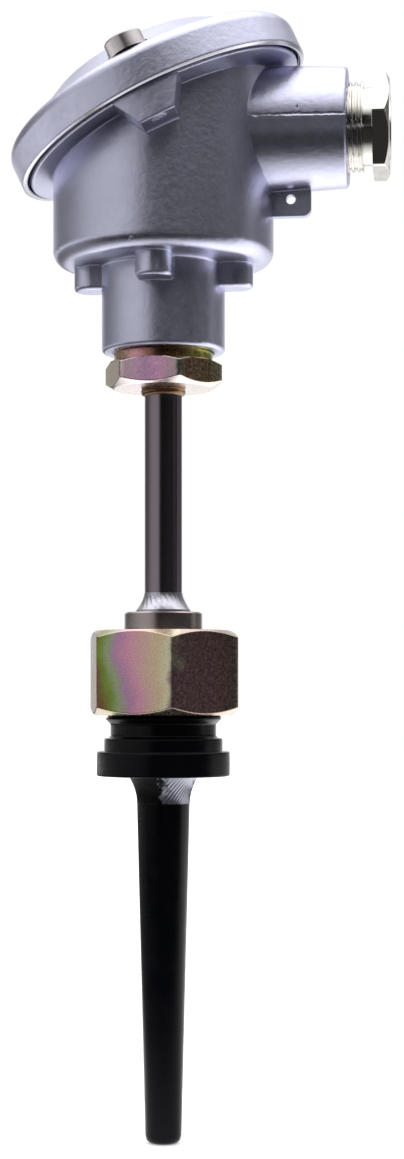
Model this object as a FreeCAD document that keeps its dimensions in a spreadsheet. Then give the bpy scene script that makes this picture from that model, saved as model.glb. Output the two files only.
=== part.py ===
import FreeCAD, Part
import math
import os
import Sketcher

# Resistance thermometer with a connection head: a tapered weld-in thermowell, a neck tube held on
# it by a union nut over a 24 degree cone, and a cast head with a tilted lid and a cable gland.
# The origin is the centre of the thermowell collar's seating face. +Z runs up to the head, +X is
# the side of the cable entry, and the front is -Y. All lengths are in millimetres.

SIZES = {
    # thermowell
    "well_thread_radius": 14.75,
    "well_thread_length": 16.4,
    "well_thread_edge": 1.2,
    "relief_depth": 1.25,
    "relief_length": 4.9,
    "relief_bevel": 0.6,
    "step_rise": 0.4,
    "step_thickness": 3.4,
    "collar_stand_out": 1.9,
    "collar_thickness": 6.3,
    "collar_edge": 0.5,
    "mouth_wall": 4.15,
    "cone_half_angle": 12.0,
    "stem_root_radius": 6.75,
    "spigot_step": 0.05,
    "spigot_length": 18.0,
    "stem_length": 94.1,
    "tip_radius": 4.6,
    "tip_round": 2.0,
    "tip_wall": 5.0,
    "stem_bore_gap": 0.25,
    "stem_bore_flare": 1.25,
    "drill_angle": 31.0,
    "well_weld_length": 7.0,
    "well_weld_width": 2.18,
    "well_weld_depth": 2.0,
    "well_weld_toe": 0.15,
    "well_weld_hollow": 9.0,
    # union nut
    "nut_flats": 36.0,
    "nut_lift": 15.6,
    "nut_length": 21.6,
    "nut_turn": 43.6,
    "nut_edge_inset": 0.7,
    "nut_thread_gap": 0.15,
    "nut_hole_gap": 0.15,
    "nut_seat_gap": 0.3,
    "nut_thread_spare": 0.4,
    "nut_mouth_edge": 0.9,
    "bevel_angle": 30.0,
    # cone nipple and its seal
    "nipple_nose": 9.0,
    "nipple_cone_gap": 0.1,
    "nipple_stop_gap": 0.4,
    "nipple_shoulder_inset": 2.35,
    "nipple_shoulder_length": 2.1,
    "nipple_ring_width": 5.2,
    "nipple_ring_length": 10.5,
    "nipple_ring_edge": 0.4,
    "nipple_bore_radius": 3.6,
    "nipple_socket_depth": 8.9,
    "seal_groove_rise": 4.6,
    "seal_groove_width": 2.2,
    "seal_groove_depth": 1.3,
    "nipple_seal_room": 0.2,
    "nipple_seal_press": 0.06,
    "nipple_seal_edge": 0.35,
    "nipple_weld_width": 2.2,
    "nipple_weld_length": 5.0,
    "nipple_weld_foot": 0.6,
    "nipple_weld_toe": 0.1,
    "nipple_weld_hollow": 7.0,
    # neck tube and neck adapter
    "tube_radius": 4.8,
    "tube_wall": 1.3,
    "tube_gap": 0.05,
    "neck_length": 57.2,
    "adapter_socket_depth": 12.9,
    "adapter_bore_inset": 0.6,
    "adapter_flats": 27.0,
    "adapter_turn": 52.7,
    "adapter_hex_length": 6.6,
    "adapter_lower_edge": 1.7,
    "adapter_upper_edge": 1.0,
    "adapter_collar_inset": 0.85,
    "adapter_collar_length": 2.6,
    "adapter_thread_radius": 12.0,
    "adapter_thread_length": 12.5,
    "adapter_thread_edge": 1.0,
    "adapter_weld_width": 0.65,
    "adapter_weld_length": 1.8,
    "adapter_weld_toe": 0.15,
    "adapter_weld_round": 1.12,
    # head housing
    "neck_wall": 3.75,
    "neck_edge": 1.0,
    "neck_root": 0.8,
    "neck_thread_gap": 0.05,
    "neck_thread_spare": 2.5,
    "neck_thread_bevel": 1.15,
    "neck_passage_radius": 9.0,
    "body_radius": 28.2,
    "body_wall": 3.4,
    "body_lift": 22.3,
    "body_round": 3.6,
    "floor_wall": 3.4,
    "cavity_round": 2.0,
    "pillar_offset": 1.9,
    "pillar_radius": 4.65,
    "pillar_drop": 6.2,
    "pillar_round": 1.0,
    "lip_lift": 58.9,
    "lid_tilt": 25.0,
    "flange_width": 9.3,
    "flange_below_lip": 1.0,
    "flange_above_lip": 3.0,
    "flange_edge": 0.5,
    "pad_root_half": 8.6,
    "pad_foot_half": 4.45,
    "pad_depth": 7.3,
    "pad_overlap": 1.0,
    "entry_drop": 2.65,
    "entry_stand_out": 19.1,
    "entry_root": 4.0,
    "entry_draft": 3.0,
    "entry_edge": 0.8,
    "entry_wall": 3.75,
    "entry_thread_radius": 11.25,
    "entry_thread_depth": 14.3,
    "entry_thread_bevel": 0.75,
    "cable_hole_spare": 0.4,
    "ear_stand_out": 9.7,
    "ear_drop": 24.9,
    "ear_height": 7.2,
    "ear_thickness": 2.6,
    "ear_round": 2.0,
    "ear_root": 2.4,
    "ear_hole_radius": 1.225,
    "ear_hole_inset": 5.1,
    "ear_hole_drop": 2.9,
    "lid_screw_inset": 4.5,
    "lid_screw_radius": 3.0,
    "lid_screw_gap": 0.03,
    "lid_screw_hole_depth": 9.0,
    "seal_inset": 3.5,
    "seal_width": 1.5,
    "seal_sink": 1.5,
    "seal_side_gap": 0.1,
    # lid
    "lid_gap": 0.1,
    "lid_side_gap": 0.7,
    "skirt_wall": 1.4,
    "lid_rim_height": 8.4,
    "lid_rim_round": 3.0,
    "lid_step_inset": 6.6,
    "lid_rim_angle": 19.2,
    "lid_step_round": 1.5,
    "lid_slope_width": 10.2,
    "lid_side_angle": 30.9,
    "lid_crown_round": 2.5,
    "lid_wall": 3.0,
    "lid_land_inset": 2.3,
    "lid_land_spare": 0.6,
    "lid_pocket_radius": 5.4,
    "lid_pocket_floor": 9.5,
    "lid_boss_radius": 4.3,
    "lid_boss_sink": 0.6,
    "lid_hole_gap": 0.3,
    # lid screws
    "screw_head_radius": 4.9,
    "screw_head_length": 3.9,
    "screw_head_round": 0.6,
    "screw_slot_width": 1.6,
    "screw_slot_depth": 1.9,
    "screw_reach": 15.0,
    "screw_point": 0.8,
    "washer_radius": 5.2,
    "washer_hole_gap": 0.2,
    "washer_thickness": 0.4,
    # cable gland
    "gland_flats": 24.0,
    "gland_turn": 26.0,
    "gland_stand_out": 6.4,
    "gland_hex_length": 4.2,
    "gland_hex_edge": 1.2,
    "gland_relief_depth": 1.55,
    "gland_relief_length": 2.5,
    "gland_thread_gap": 0.05,
    "gland_stem_length": 10.7,
    "gland_nose_edge": 1.0,
    "gland_wall": 2.1,
    "gland_bore_bevel": 0.8,
    "gland_washer_thickness": 1.0,
    "gland_washer_gap": 0.15,
    "gland_seal_length": 5.0,
    "gland_seal_gap": 0.1,
    "gland_seal_inset": 1.4,
    # measuring insert
    "insert_plate_inset": 3.8,
    "insert_plate_thickness": 2.0,
    "insert_screw_inset": 4.5,
    "insert_screw_radius": 2.0,
    "insert_screw_gap": 0.05,
    "insert_screw_depth": 7.0,
    "insert_screw_room": 1.0,
    "insert_screw_lift": 14.0,
    "insert_screw_head_step": 1.5,
    "insert_screw_head_length": 2.4,
    "insert_screw_head_edge": 0.4,
    "insert_screw_slot": 1.0,
    "insert_hole_gap": 0.4,
    "sleeve_radius": 4.0,
    "sleeve_length": 12.0,
    "sleeve_bevel": 1.0,
    "sleeve_collar_step": 1.5,
    "sleeve_collar_length": 1.2,
    "sheath_radius": 1.5,
    "sheath_wall": 0.35,
    "sheath_gap": 0.4,
    "sheath_end": 0.6,
    "sheath_round": 0.5,
    "element_radius": 0.8,
    "element_length": 15.0,
    "spring_step": 1.0,
    "spring_wire": 0.35,
    "spring_turns": 5.0,
    # terminal block
    "block_inset": 3.0,
    "block_height": 11.0,
    "block_edge": 0.6,
    "block_bore": 3.4,
    "block_notch": 5.0,
    "block_relief_room": 0.4,
    "terminal_turn": 45.0,
    "pocket_inner": 5.6,
    "pocket_width": 7.6,
    "pocket_depth": 7.0,
    "clamp_end_gap": 0.4,
    "clamp_side_gap": 0.5,
    "clamp_length": 8.4,
    "clamp_height": 6.4,
    "clamp_screw_seat": 11.6,
    "clamp_wire_seat": 7.6,
    "clamp_wire_depth": 4.0,
    "clamp_thread_radius": 1.75,
    "clamp_thread_gap": 0.05,
    "clamp_screw_head_step": 0.95,
    "clamp_screw_head_length": 2.0,
    "clamp_screw_length": 5.0,
    "clamp_screw_slot": 0.8,
    "lead_radius": 0.5,
    "lead_circle": 2.3,
    "lead_rise": 4.0,
}

document = FreeCAD.newDocument("thermometer")
sheet = document.addObject("Spreadsheet::Sheet", "Sizes")
for row, (alias, number) in enumerate(SIZES.items(), start=1):
    sheet.set("A%d" % row, alias)
    sheet.set("B%d" % row, str(number))
    sheet.setAlias("B%d" % row, alias)
document.recompute()


class Length:
    """A size as a number, with the expression on the sheet's cells that gives it."""

    def __init__(self, value, text):
        self.value = float(value)
        self.text = text

    def __add__(self, other):
        other = as_length(other)
        return Length(self.value + other.value, "(%s + %s)" % (self.text, other.text))

    def __sub__(self, other):
        other = as_length(other)
        return Length(self.value - other.value, "(%s - %s)" % (self.text, other.text))

    def __mul__(self, other):
        other = as_length(other)
        return Length(self.value * other.value, "(%s * %s)" % (self.text, other.text))

    def __truediv__(self, other):
        other = as_length(other)
        return Length(self.value / other.value, "(%s / %s)" % (self.text, other.text))

    def __neg__(self):
        return Length(-self.value, "(0 - %s)" % self.text)


def as_length(thing):
    """Lets a plain number stand beside a size."""
    if isinstance(thing, Length):
        return thing
    return Length(thing, "(%r)" % float(thing))


def sine(angle):
    return Length(math.sin(math.radians(angle.value)), "sin(%s)" % angle.text)


def cosine(angle):
    return Length(math.cos(math.radians(angle.value)), "cos(%s)" % angle.text)


def tangent(angle):
    return Length(math.tan(math.radians(angle.value)), "tan(%s)" % angle.text)


class Cells:
    """Gives each cell of the sheet as a Length, by its alias."""

    def __getattr__(self, alias):
        return Length(sheet.get(alias), "Sizes." + alias)


size = Cells()
zero = as_length(0)

# PAST is how far a cutting outline runs beyond the material that it cuts. JUST_OVER makes the
# radius of a half-round arc a hair larger than half its chord, so that the arc always exists.
# An edge is found by points between its EDGE_POINTS steps, to within NEAR of where they should be.

X_AXIS = FreeCAD.Vector(1, 0, 0)
Y_AXIS = FreeCAD.Vector(0, 1, 0)
Z_AXIS = FreeCAD.Vector(0, 0, 1)
FULL_TURN = 360.0
RIGHT_ANGLE = 90.0
PAST = 1.0
JUST_OVER = 1.0001
NEAR = 0.02
EDGE_POINTS = 5


# Tools of the drawing board: bodies, sketches and features whose sizes are bound to the sheet.

def bind(thing, path, length):
    """Binds one property of an object to the sheet."""
    thing.setExpression(path, as_length(length).text)


def place(thing, path, base, axis=None, angle=None):
    """Puts an object, or a sketch's offset, at base and turns it about axis by angle."""
    base = [as_length(part) for part in base]
    turn = FreeCAD.Rotation()
    if axis is not None:
        turn = FreeCAD.Rotation(axis, as_length(angle).value)
    spot = FreeCAD.Vector(*[part.value for part in base])
    setattr(thing, path, FreeCAD.Placement(spot, turn))
    for letter, part in zip("xyz", base):
        bind(thing, "%s.Base.%s" % (path, letter), part)
    if isinstance(angle, Length):
        bind(thing, path + ".Rotation.Angle", angle)


def new_body(label):
    body = document.addObject("PartDesign::Body", label)
    body.Label = label
    return body


def new_sketch(body, role="XZ_Plane", base=None, axis=None, angle=None):
    """A sketch on one of the body's origin planes, moved by base and turned about axis."""
    plane = [item for item in body.Origin.OriginFeatures if item.Role == role][0]
    sketch = body.newObject("Sketcher::SketchObject", "outline")
    sketch.AttachmentSupport = [(plane, "")]
    sketch.MapMode = "FlatFace"
    if base is not None:
        place(sketch, "AttachmentOffset", base, axis, angle)
    return sketch


def arc_between(start, end, radius):
    """The short arc from start to end, turning left where radius is positive."""
    middle = (start + end) * 0.5
    chord = end - start
    half = chord.Length / 2
    rise = math.sqrt(max(radius * radius - half * half, 0.0))
    side = 1 if radius > 0 else -1
    centre = middle + FreeCAD.Vector(-chord.y, chord.x, 0).normalize() * rise * side
    first = math.atan2(start.y - centre.y, start.x - centre.x)
    last = math.atan2(end.y - centre.y, end.x - centre.x)
    if side < 0:
        first, last = last, first
    return Part.ArcOfCircle(Part.Circle(centre, Z_AXIS, abs(radius)), first, last)


def draw(sketch, corners, closed=True):
    """Draws an outline through corners. A third entry of a corner is the radius of the arc that
    leaves it, negative where the arc turns right; without one a straight line leaves it."""
    corners = [[as_length(entry) for entry in corner] for corner in corners]
    spots = [FreeCAD.Vector(corner[0].value, corner[1].value, 0) for corner in corners]
    count = len(corners) if closed else len(corners) - 1
    begins, ends, rules, texts = [], [], [], []
    for index in range(count):
        start, end = spots[index], spots[(index + 1) % len(spots)]
        radius = corners[index][2] if len(corners[index]) > 2 else None
        if radius is None:
            edge = sketch.addGeometry(Part.LineSegment(start, end), False)
            begins.append((edge, 1))
            ends.append((edge, 2))
            continue
        edge = sketch.addGeometry(arc_between(start, end, radius.value), False)
        begins.append((edge, 1 if radius.value > 0 else 2))
        ends.append((edge, 2 if radius.value > 0 else 1))
        rules.append(Sketcher.Constraint("Radius", edge, abs(radius.value)))
        texts.append(radius.text if radius.value > 0 else (-radius).text)
    for index in range(count):
        if closed or index + 1 < count:
            rules.append(Sketcher.Constraint("Coincident", *ends[index], *begins[(index + 1) % count]))
            texts.append(None)
    points = begins if closed else begins + ends[-1:]
    for corner, point in zip(corners, points):
        rules.append(Sketcher.Constraint("DistanceX", -1, 1, *point, corner[0].value))
        texts.append(corner[0].text)
        rules.append(Sketcher.Constraint("DistanceY", -1, 1, *point, corner[1].value))
        texts.append(corner[1].text)
    numbers = sketch.addConstraint(rules)
    for number, text in zip(numbers, texts):
        if text is not None:
            sketch.setExpression("Constraints[%d]" % number, text)


def draw_circle(sketch, x, y, radius):
    """Draws one circle about (x, y)."""
    x, y, radius = as_length(x), as_length(y), as_length(radius)
    centre = FreeCAD.Vector(x.value, y.value, 0)
    edge = sketch.addGeometry(Part.Circle(centre, Z_AXIS, radius.value), False)
    rules = [
        Sketcher.Constraint("Radius", edge, radius.value),
        Sketcher.Constraint("DistanceX", -1, 1, edge, 3, x.value),
        Sketcher.Constraint("DistanceY", -1, 1, edge, 3, y.value),
    ]
    for number, part in zip(sketch.addConstraint(rules), (radius, x, y)):
        sketch.setExpression("Constraints[%d]" % number, part.text)


def box_corners(left, bottom, right, top):
    """The corners of an upright rectangle."""
    return [(left, bottom), (right, bottom), (right, top), (left, top)]


def draw_hexagon(sketch, across_flats, turn):
    """Draws a hexagon whose first corner lies at the angle turn."""
    reach = across_flats / math.sqrt(3)
    corners = []
    for step in range(6):
        angle = turn + 60 * step
        corners.append((reach * cosine(angle), reach * sine(angle)))
    draw(sketch, corners)


def turn_about(body, sketch, kind="PartDesign::Revolution", axis="V_Axis"):
    """Turns an outline about one of its sketch's axes, as material or as a groove."""
    feature = body.newObject(kind, "turned")
    feature.Profile = sketch
    feature.ReferenceAxis = (sketch, [axis])
    feature.Angle = FULL_TURN
    sketch.Visibility = False
    document.recompute()
    return feature


def cut_round(body, sketch, axis="V_Axis"):
    """Cuts a groove all round, and makes sure that it took material away."""
    before = body.Shape.Volume
    feature = turn_about(body, sketch, "PartDesign::Groove", axis)
    if not body.Shape.Volume < before:
        raise ValueError("a groove of %s cuts nothing" % body.Label)
    return feature


def pad(body, sketch, length, reverse=False, both_ways=False):
    """Adds material of the outline's shape, length thick."""
    feature = body.newObject("PartDesign::Pad", "pad")
    feature.Profile = sketch
    feature.Length = as_length(length).value
    bind(feature, "Length", length)
    feature.Reversed = reverse
    feature.Midplane = both_ways
    document.recompute()
    return feature


def pocket(body, sketch, length, reverse=False, both_ways=False):
    """Cuts the outline's shape, length deep, and makes sure that it took material away."""
    before = body.Shape.Volume
    feature = body.newObject("PartDesign::Pocket", "pocket")
    feature.Profile = sketch
    feature.Length = as_length(length).value
    bind(feature, "Length", length)
    feature.Reversed = reverse
    feature.Midplane = both_ways
    document.recompute()
    if not body.Shape.Volume < before:
        raise ValueError("a pocket of %s cuts nothing" % body.Label)
    return feature


def repeat_round(body, features, count):
    """Repeats the last features count times about the body's Z axis."""
    axis = [item for item in body.Origin.OriginFeatures if item.Role == "Z_Axis"][0]
    pattern = body.newObject("PartDesign::PolarPattern", "pattern")
    pattern.Originals = features
    pattern.Axis = (axis, [""])
    pattern.Angle = FULL_TURN
    pattern.Occurrences = count
    body.Tip = pattern
    document.recompute()
    return pattern


def circle_edges(body, radius, height):
    """Names the round edges about the body's Z axis that have this radius and height."""
    found = []
    radius, height = as_length(radius).value, as_length(height).value
    for number, edge in enumerate(body.Tip.Shape.Edges, start=1):
        if not isinstance(edge.Curve, Part.Circle):
            continue
        level = edge.CenterOfMass.z
        if abs(edge.Curve.Radius - radius) < NEAR and abs(level - height) < NEAR:
            found.append("Edge%d" % number)
    return found


def finish_edges(body, kind, names, amount):
    """Rounds (PartDesign::Fillet) or bevels (PartDesign::Chamfer) the named edges."""
    if not names:
        raise ValueError("%s has no edge to finish" % body.Label)
    base = body.Tip
    feature = body.newObject(kind, "edge")
    feature.Base = (base, names)
    path = "Radius" if kind.endswith("Fillet") else "Size"
    setattr(feature, path, as_length(amount).value)
    bind(feature, path, amount)
    document.recompute()
    return feature


def round_edges(body, radius, height, amount):
    return finish_edges(body, "PartDesign::Fillet", circle_edges(body, radius, height), amount)


def round_where(body, amount, holds):
    """Rounds every edge whose points, apart from its ends, all pass the test."""
    names = []
    for number, edge in enumerate(body.Tip.Shape.Edges, start=1):
        if edge.Length < NEAR:
            continue
        stride = (edge.LastParameter - edge.FirstParameter) / EDGE_POINTS
        spots = [edge.valueAt(edge.FirstParameter + stride * step) for step in range(1, EDGE_POINTS)]
        if all(holds(spot) for spot in spots):
            names.append("Edge%d" % number)
    return finish_edges(body, "PartDesign::Fillet", names, amount)


def turned_body(label, corners):
    """A piece turned on a lathe: the outline (radius, height) goes round the Z axis."""
    body = new_body(label)
    sketch = new_sketch(body)
    draw(sketch, corners)
    turn_about(body, sketch)
    return body


# Sizes that several pieces share. Radii that belong together are steps from one another, so a
# change of one carries its neighbours; heights are measured up from the collar's seating face.

step_radius = size.well_thread_radius + size.step_rise
collar_radius = step_radius + size.collar_stand_out
mouth_radius = size.well_thread_radius - size.mouth_wall
stem_bore_radius = size.sheath_radius + size.stem_bore_gap
shoulder_radius = size.well_thread_radius - size.nipple_shoulder_inset
nipple_radius = size.tube_radius + size.nipple_ring_width
tube_socket = size.tube_radius + size.tube_gap

neck_radius = size.adapter_thread_radius + size.neck_wall
cavity_radius = size.body_radius - size.body_wall
flange_radius = size.body_radius + size.flange_width
lid_screw_circle = flange_radius - size.lid_screw_inset
seal_inner = cavity_radius + size.seal_inset
seal_outer = seal_inner + size.seal_width
lid_radius = flange_radius + size.lid_side_gap + size.skirt_wall

entry_reach = size.body_radius + size.entry_stand_out
entry_step = entry_reach - size.entry_thread_depth
gland_hex_start = entry_reach + size.gland_stand_out
gland_nose = gland_hex_start - size.gland_stem_length
gland_relief_radius = size.entry_thread_radius - size.gland_relief_depth
gland_bore_radius = gland_relief_radius - size.gland_wall

insert_plate_radius = cavity_radius - size.insert_plate_inset
insert_screw_circle = insert_plate_radius - size.insert_screw_inset
insert_screw_head = size.insert_screw_radius + size.insert_screw_head_step
sleeve_collar_radius = size.sleeve_radius + size.sleeve_collar_step
block_radius = insert_plate_radius - size.block_inset

well_top = size.collar_thickness + size.step_thickness + size.relief_length + size.well_thread_length
relief_bottom = size.collar_thickness + size.step_thickness
thread_bottom = relief_bottom + size.relief_length
stem_tip = -size.stem_length
stem_bore_end = stem_tip + size.tip_wall
shoulder_bottom = well_top + size.nipple_stop_gap
shoulder_top = shoulder_bottom + size.nipple_shoulder_length
nipple_top = shoulder_bottom + size.nipple_ring_length
socket_floor = nipple_top - size.nipple_socket_depth
nut_top = size.nut_lift + size.nut_length
adapter_bottom = nipple_top + size.neck_length
hex_top = adapter_bottom + size.adapter_hex_length
head_base = hex_top + size.adapter_collar_length
body_bottom = head_base + size.body_lift
floor_top = body_bottom + size.floor_wall
lip_centre = head_base + size.lip_lift
entry_axis = lip_centre - size.entry_drop
plate_top = floor_top + size.insert_plate_thickness
sleeve_top = plate_top + size.sleeve_collar_length
block_top = plate_top + size.block_height
clamp_base = block_top - size.pocket_depth
clamp_top = clamp_base + size.clamp_height


# Thermowell: a threaded collar turned from bar, the tapered stem pushed into it, and the weld.

def make_well_collar():
    """The collar's lower edge is bevelled round the stem, to take the weld."""
    mouth_floor = mouth_radius - (well_top - size.spigot_length) * tangent(size.cone_half_angle)
    relief = size.well_thread_radius - size.relief_depth
    spigot = size.stem_root_radius + size.spigot_step
    corners = [
        (spigot, size.well_weld_depth),
        (size.stem_root_radius + size.well_weld_width, zero),
        (collar_radius, zero),
        (collar_radius, size.collar_thickness - size.collar_edge),
        (collar_radius - size.collar_edge, size.collar_thickness),
        (step_radius, size.collar_thickness),
        (step_radius, relief_bottom - size.collar_edge),
        (step_radius - size.collar_edge, relief_bottom),
        (relief + size.relief_bevel, relief_bottom),
        (relief, relief_bottom + size.relief_bevel),
        (relief, thread_bottom - size.relief_depth),
        (size.well_thread_radius, thread_bottom),
        (size.well_thread_radius, well_top - size.well_thread_edge),
        (size.well_thread_radius - size.well_thread_edge, well_top),
        (mouth_radius, well_top),
        (mouth_floor, size.spigot_length),
        (spigot, size.spigot_length),
    ]
    return turned_body("well_collar", corners)


def make_well_stem():
    """A straight spigot inside the collar, then one long taper down to the rounded tip."""
    spigot = size.stem_root_radius + size.spigot_step
    corners = [
        (zero, stem_tip),
        (size.tip_radius, stem_tip),
        (size.stem_root_radius, -size.well_weld_length),
        (size.stem_root_radius, zero),
        (spigot, zero),
        (spigot, size.spigot_length),
        (stem_bore_radius + size.stem_bore_flare, size.spigot_length),
        (stem_bore_radius, size.spigot_length - size.stem_bore_flare),
        (stem_bore_radius, stem_bore_end),
        (zero, stem_bore_end - stem_bore_radius * tangent(size.drill_angle)),
    ]
    body = turned_body("well_stem", corners)
    round_edges(body, size.tip_radius, stem_tip, size.tip_round)
    return body


def make_well_weld():
    """A long hollow fillet weld up the stem, which also fills the bevel in the collar."""
    root = -size.well_weld_length
    spigot = size.stem_root_radius + size.spigot_step
    corners = [
        (size.stem_root_radius, root),
        (size.stem_root_radius + size.well_weld_toe, root, -size.well_weld_hollow),
        (size.stem_root_radius + size.well_weld_width, zero),
        (spigot, size.well_weld_depth),
        (spigot, zero),
        (size.stem_root_radius, zero),
    ]
    return turned_body("well_weld", corners)


# Union nut: hexagon bar, bevelled at both ends, threaded below and coned to a hole above.

def bevel_hexagon(body, bottom, top, across_flats, lower_edge, upper_edge):
    """Bevels the corners of a hexagon: one cone is cut at each end that has an edge width."""
    corner = across_flats / math.sqrt(3)
    reach = corner + PAST
    for level, edge, side in ((bottom, lower_edge, 1), (top, upper_edge, -1)):
        if edge is None:
            continue
        inner = corner - edge / tangent(size.bevel_angle)
        rise = (reach - inner) * tangent(size.bevel_angle)
        sketch = new_sketch(body)
        draw(sketch, [(inner, level), (reach, level), (reach, level + rise * side)])
        cut_round(body, sketch)


def make_union_nut():
    body = new_body("union_nut")
    sketch = new_sketch(body, "XY_Plane", (zero, zero, size.nut_lift))
    draw_hexagon(sketch, size.nut_flats, size.nut_turn)
    pad(body, sketch, size.nut_length)
    corner = size.nut_flats / math.sqrt(3)
    edge = (corner - size.nut_flats / 2 + size.nut_edge_inset) * tangent(size.bevel_angle)
    bevel_hexagon(body, size.nut_lift, nut_top, size.nut_flats, edge, edge)
    thread = size.well_thread_radius + size.nut_thread_gap
    hole = nipple_radius + size.nut_hole_gap
    seat = shoulder_radius + size.nut_seat_gap
    thread_end = well_top + size.nut_thread_spare
    seat_top = shoulder_top + seat - hole
    bore = new_sketch(body)
    draw(bore, [
        (zero, size.nut_lift),
        (thread + size.nut_mouth_edge, size.nut_lift),
        (thread, size.nut_lift + size.nut_mouth_edge),
        (thread, thread_end),
        (seat, thread_end),
        (seat, shoulder_top),
        (hole, seat_top),
        (hole, nut_top),
        (zero, nut_top),
    ])
    cut_round(body, bore)
    return body


# Cone nipple: a 24 degree sealing cone with a seal ring, a shoulder for the nut and a tube socket.

def cone_radius(height):
    """The nipple's radius on its sealing cone at a height."""
    return mouth_radius - size.nipple_cone_gap - (well_top - height) * tangent(size.cone_half_angle)


def make_cone_nipple():
    nose = well_top - size.nipple_nose
    groove = nose + size.seal_groove_rise
    groove_top = groove + size.seal_groove_width
    depth = cone_radius(groove) - size.seal_groove_depth
    corners = [
        (size.nipple_bore_radius, nose),
        (cone_radius(nose), nose),
        (cone_radius(groove), groove),
        (depth, groove),
        (depth, groove_top),
        (cone_radius(groove_top), groove_top),
        (cone_radius(shoulder_bottom), shoulder_bottom),
        (shoulder_radius, shoulder_bottom),
        (shoulder_radius, shoulder_top),
        (nipple_radius, shoulder_top + shoulder_radius - nipple_radius),
        (nipple_radius, nipple_top - size.nipple_ring_edge),
        (nipple_radius - size.nipple_ring_edge, nipple_top),
        (tube_socket, nipple_top),
        (tube_socket, socket_floor),
        (size.nipple_bore_radius, socket_floor),
    ]
    return turned_body("cone_nipple", corners)


def make_nipple_seal():
    """A rubber ring in the nipple's groove, pressed flat where it meets the cone."""
    nose = well_top - size.nipple_nose
    groove = nose + size.seal_groove_rise
    inner = cone_radius(groove) - size.seal_groove_depth
    low = groove + size.nipple_seal_room
    high = groove + size.seal_groove_width - size.nipple_seal_room
    edge = size.nipple_seal_edge
    corners = [
        (inner, low + edge),
        (inner + edge, low),
        (cone_radius(low) - edge, low),
        (cone_radius(low + edge) + size.nipple_seal_press, low + edge),
        (cone_radius(high - edge) + size.nipple_seal_press, high - edge),
        (cone_radius(high) - edge, high),
        (inner + edge, high),
        (inner, high - edge),
    ]
    return turned_body("nipple_seal_ring", corners)


def make_nipple_weld():
    """A hollow fillet weld from the nipple's top face up to the neck tube."""
    foot = nipple_top + size.nipple_weld_foot
    top = nipple_top + size.nipple_weld_length
    outer = size.tube_radius + size.nipple_weld_width
    corners = [
        (size.tube_radius, nipple_top),
        (outer, nipple_top),
        (outer, foot, -size.nipple_weld_hollow),
        (size.tube_radius + size.nipple_weld_toe, top),
        (size.tube_radius, top),
    ]
    return turned_body("nipple_weld", corners)


# Neck tube, the weld bead at its upper end and the neck adapter that the head screws on to.

def make_neck_tube():
    socket_top = adapter_bottom + size.adapter_socket_depth
    inner = size.tube_radius - size.tube_wall
    return turned_body("neck_tube", box_corners(inner, socket_floor, size.tube_radius, socket_top))


def make_adapter_weld():
    bottom = adapter_bottom - size.adapter_weld_length
    corners = [
        (size.tube_radius, bottom),
        (size.tube_radius + size.adapter_weld_toe, bottom, size.adapter_weld_round),
        (size.tube_radius + size.adapter_weld_width, adapter_bottom),
        (size.tube_radius, adapter_bottom),
    ]
    return turned_body("adapter_weld", corners)


def make_neck_adapter():
    body = new_body("neck_adapter")
    sketch = new_sketch(body, "XY_Plane", (zero, zero, adapter_bottom))
    draw_hexagon(sketch, size.adapter_flats, size.adapter_turn)
    pad(body, sketch, size.adapter_hex_length)
    bevel_hexagon(body, adapter_bottom, hex_top, size.adapter_flats,
                  size.adapter_lower_edge, size.adapter_upper_edge)
    thread_top = head_base + size.adapter_thread_length
    collar = size.adapter_flats / 2 - size.adapter_collar_inset
    stub = new_sketch(body)
    draw(stub, [
        (zero, adapter_bottom + size.adapter_hex_length / 2),
        (collar, adapter_bottom + size.adapter_hex_length / 2),
        (collar, head_base),
        (size.adapter_thread_radius, head_base),
        (size.adapter_thread_radius, thread_top - size.adapter_thread_edge),
        (size.adapter_thread_radius - size.adapter_thread_edge, thread_top),
        (zero, thread_top),
    ])
    turn_about(body, stub)
    socket_top = adapter_bottom + size.adapter_socket_depth
    passage = size.tube_radius - size.adapter_bore_inset
    bore = new_sketch(body)
    draw(bore, [
        (zero, adapter_bottom),
        (tube_socket, adapter_bottom),
        (tube_socket, socket_top),
        (passage, socket_top),
        (passage, thread_top),
        (zero, thread_top),
    ])
    cut_round(body, bore)
    return body


# Head housing: one aluminium casting, with its neck, four screw pillars, bowl, tilted flange,
# two screw pads, cable entry and ear.

def lid_plane(body, height):
    """A sketch square to the lid's axis, at a height above the lip plane."""
    lean = size.lid_tilt
    base = (-(sine(lean) * height), zero, lip_centre + cosine(lean) * height)
    return new_sketch(body, "XY_Plane", base, -Y_AXIS, lean)


def lid_section(body):
    """A sketch through the lid's axis, whose own Y axis is the lid's axis and lip its origin."""
    return new_sketch(body, "XZ_Plane", (zero, lip_centre, zero), Z_AXIS, size.lid_tilt)


def add_bowl(body):
    """Neck and bowl in one outline, drawn up past the flange and cut off along its tilt."""
    above = lip_centre + size.body_radius
    outline = new_sketch(body)
    draw(outline, [
        (zero, head_base),
        (neck_radius - size.neck_edge, head_base, size.neck_edge),
        (neck_radius, head_base + size.neck_edge),
        (neck_radius, body_bottom - size.neck_root, -size.neck_root),
        (neck_radius + size.neck_root, body_bottom),
        (size.body_radius - size.body_round, body_bottom, size.body_round),
        (size.body_radius, body_bottom + size.body_round),
        (size.body_radius, above),
        (zero, above),
    ])
    turn_about(body, outline)
    cap = lid_plane(body, size.flange_above_lip)
    draw_circle(cap, 0, 0, flange_radius * 2)
    pocket(body, cap, flange_radius * 2, reverse=True)


def on_lid(spot):
    """A point's distance from the lid's axis and its height above the lip plane."""
    lean = math.radians(size.lid_tilt.value)
    rise = spot.z - lip_centre.value
    across = spot.x * math.cos(lean) + rise * math.sin(lean)
    return math.hypot(across, spot.y), rise * math.cos(lean) - spot.x * math.sin(lean)


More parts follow.
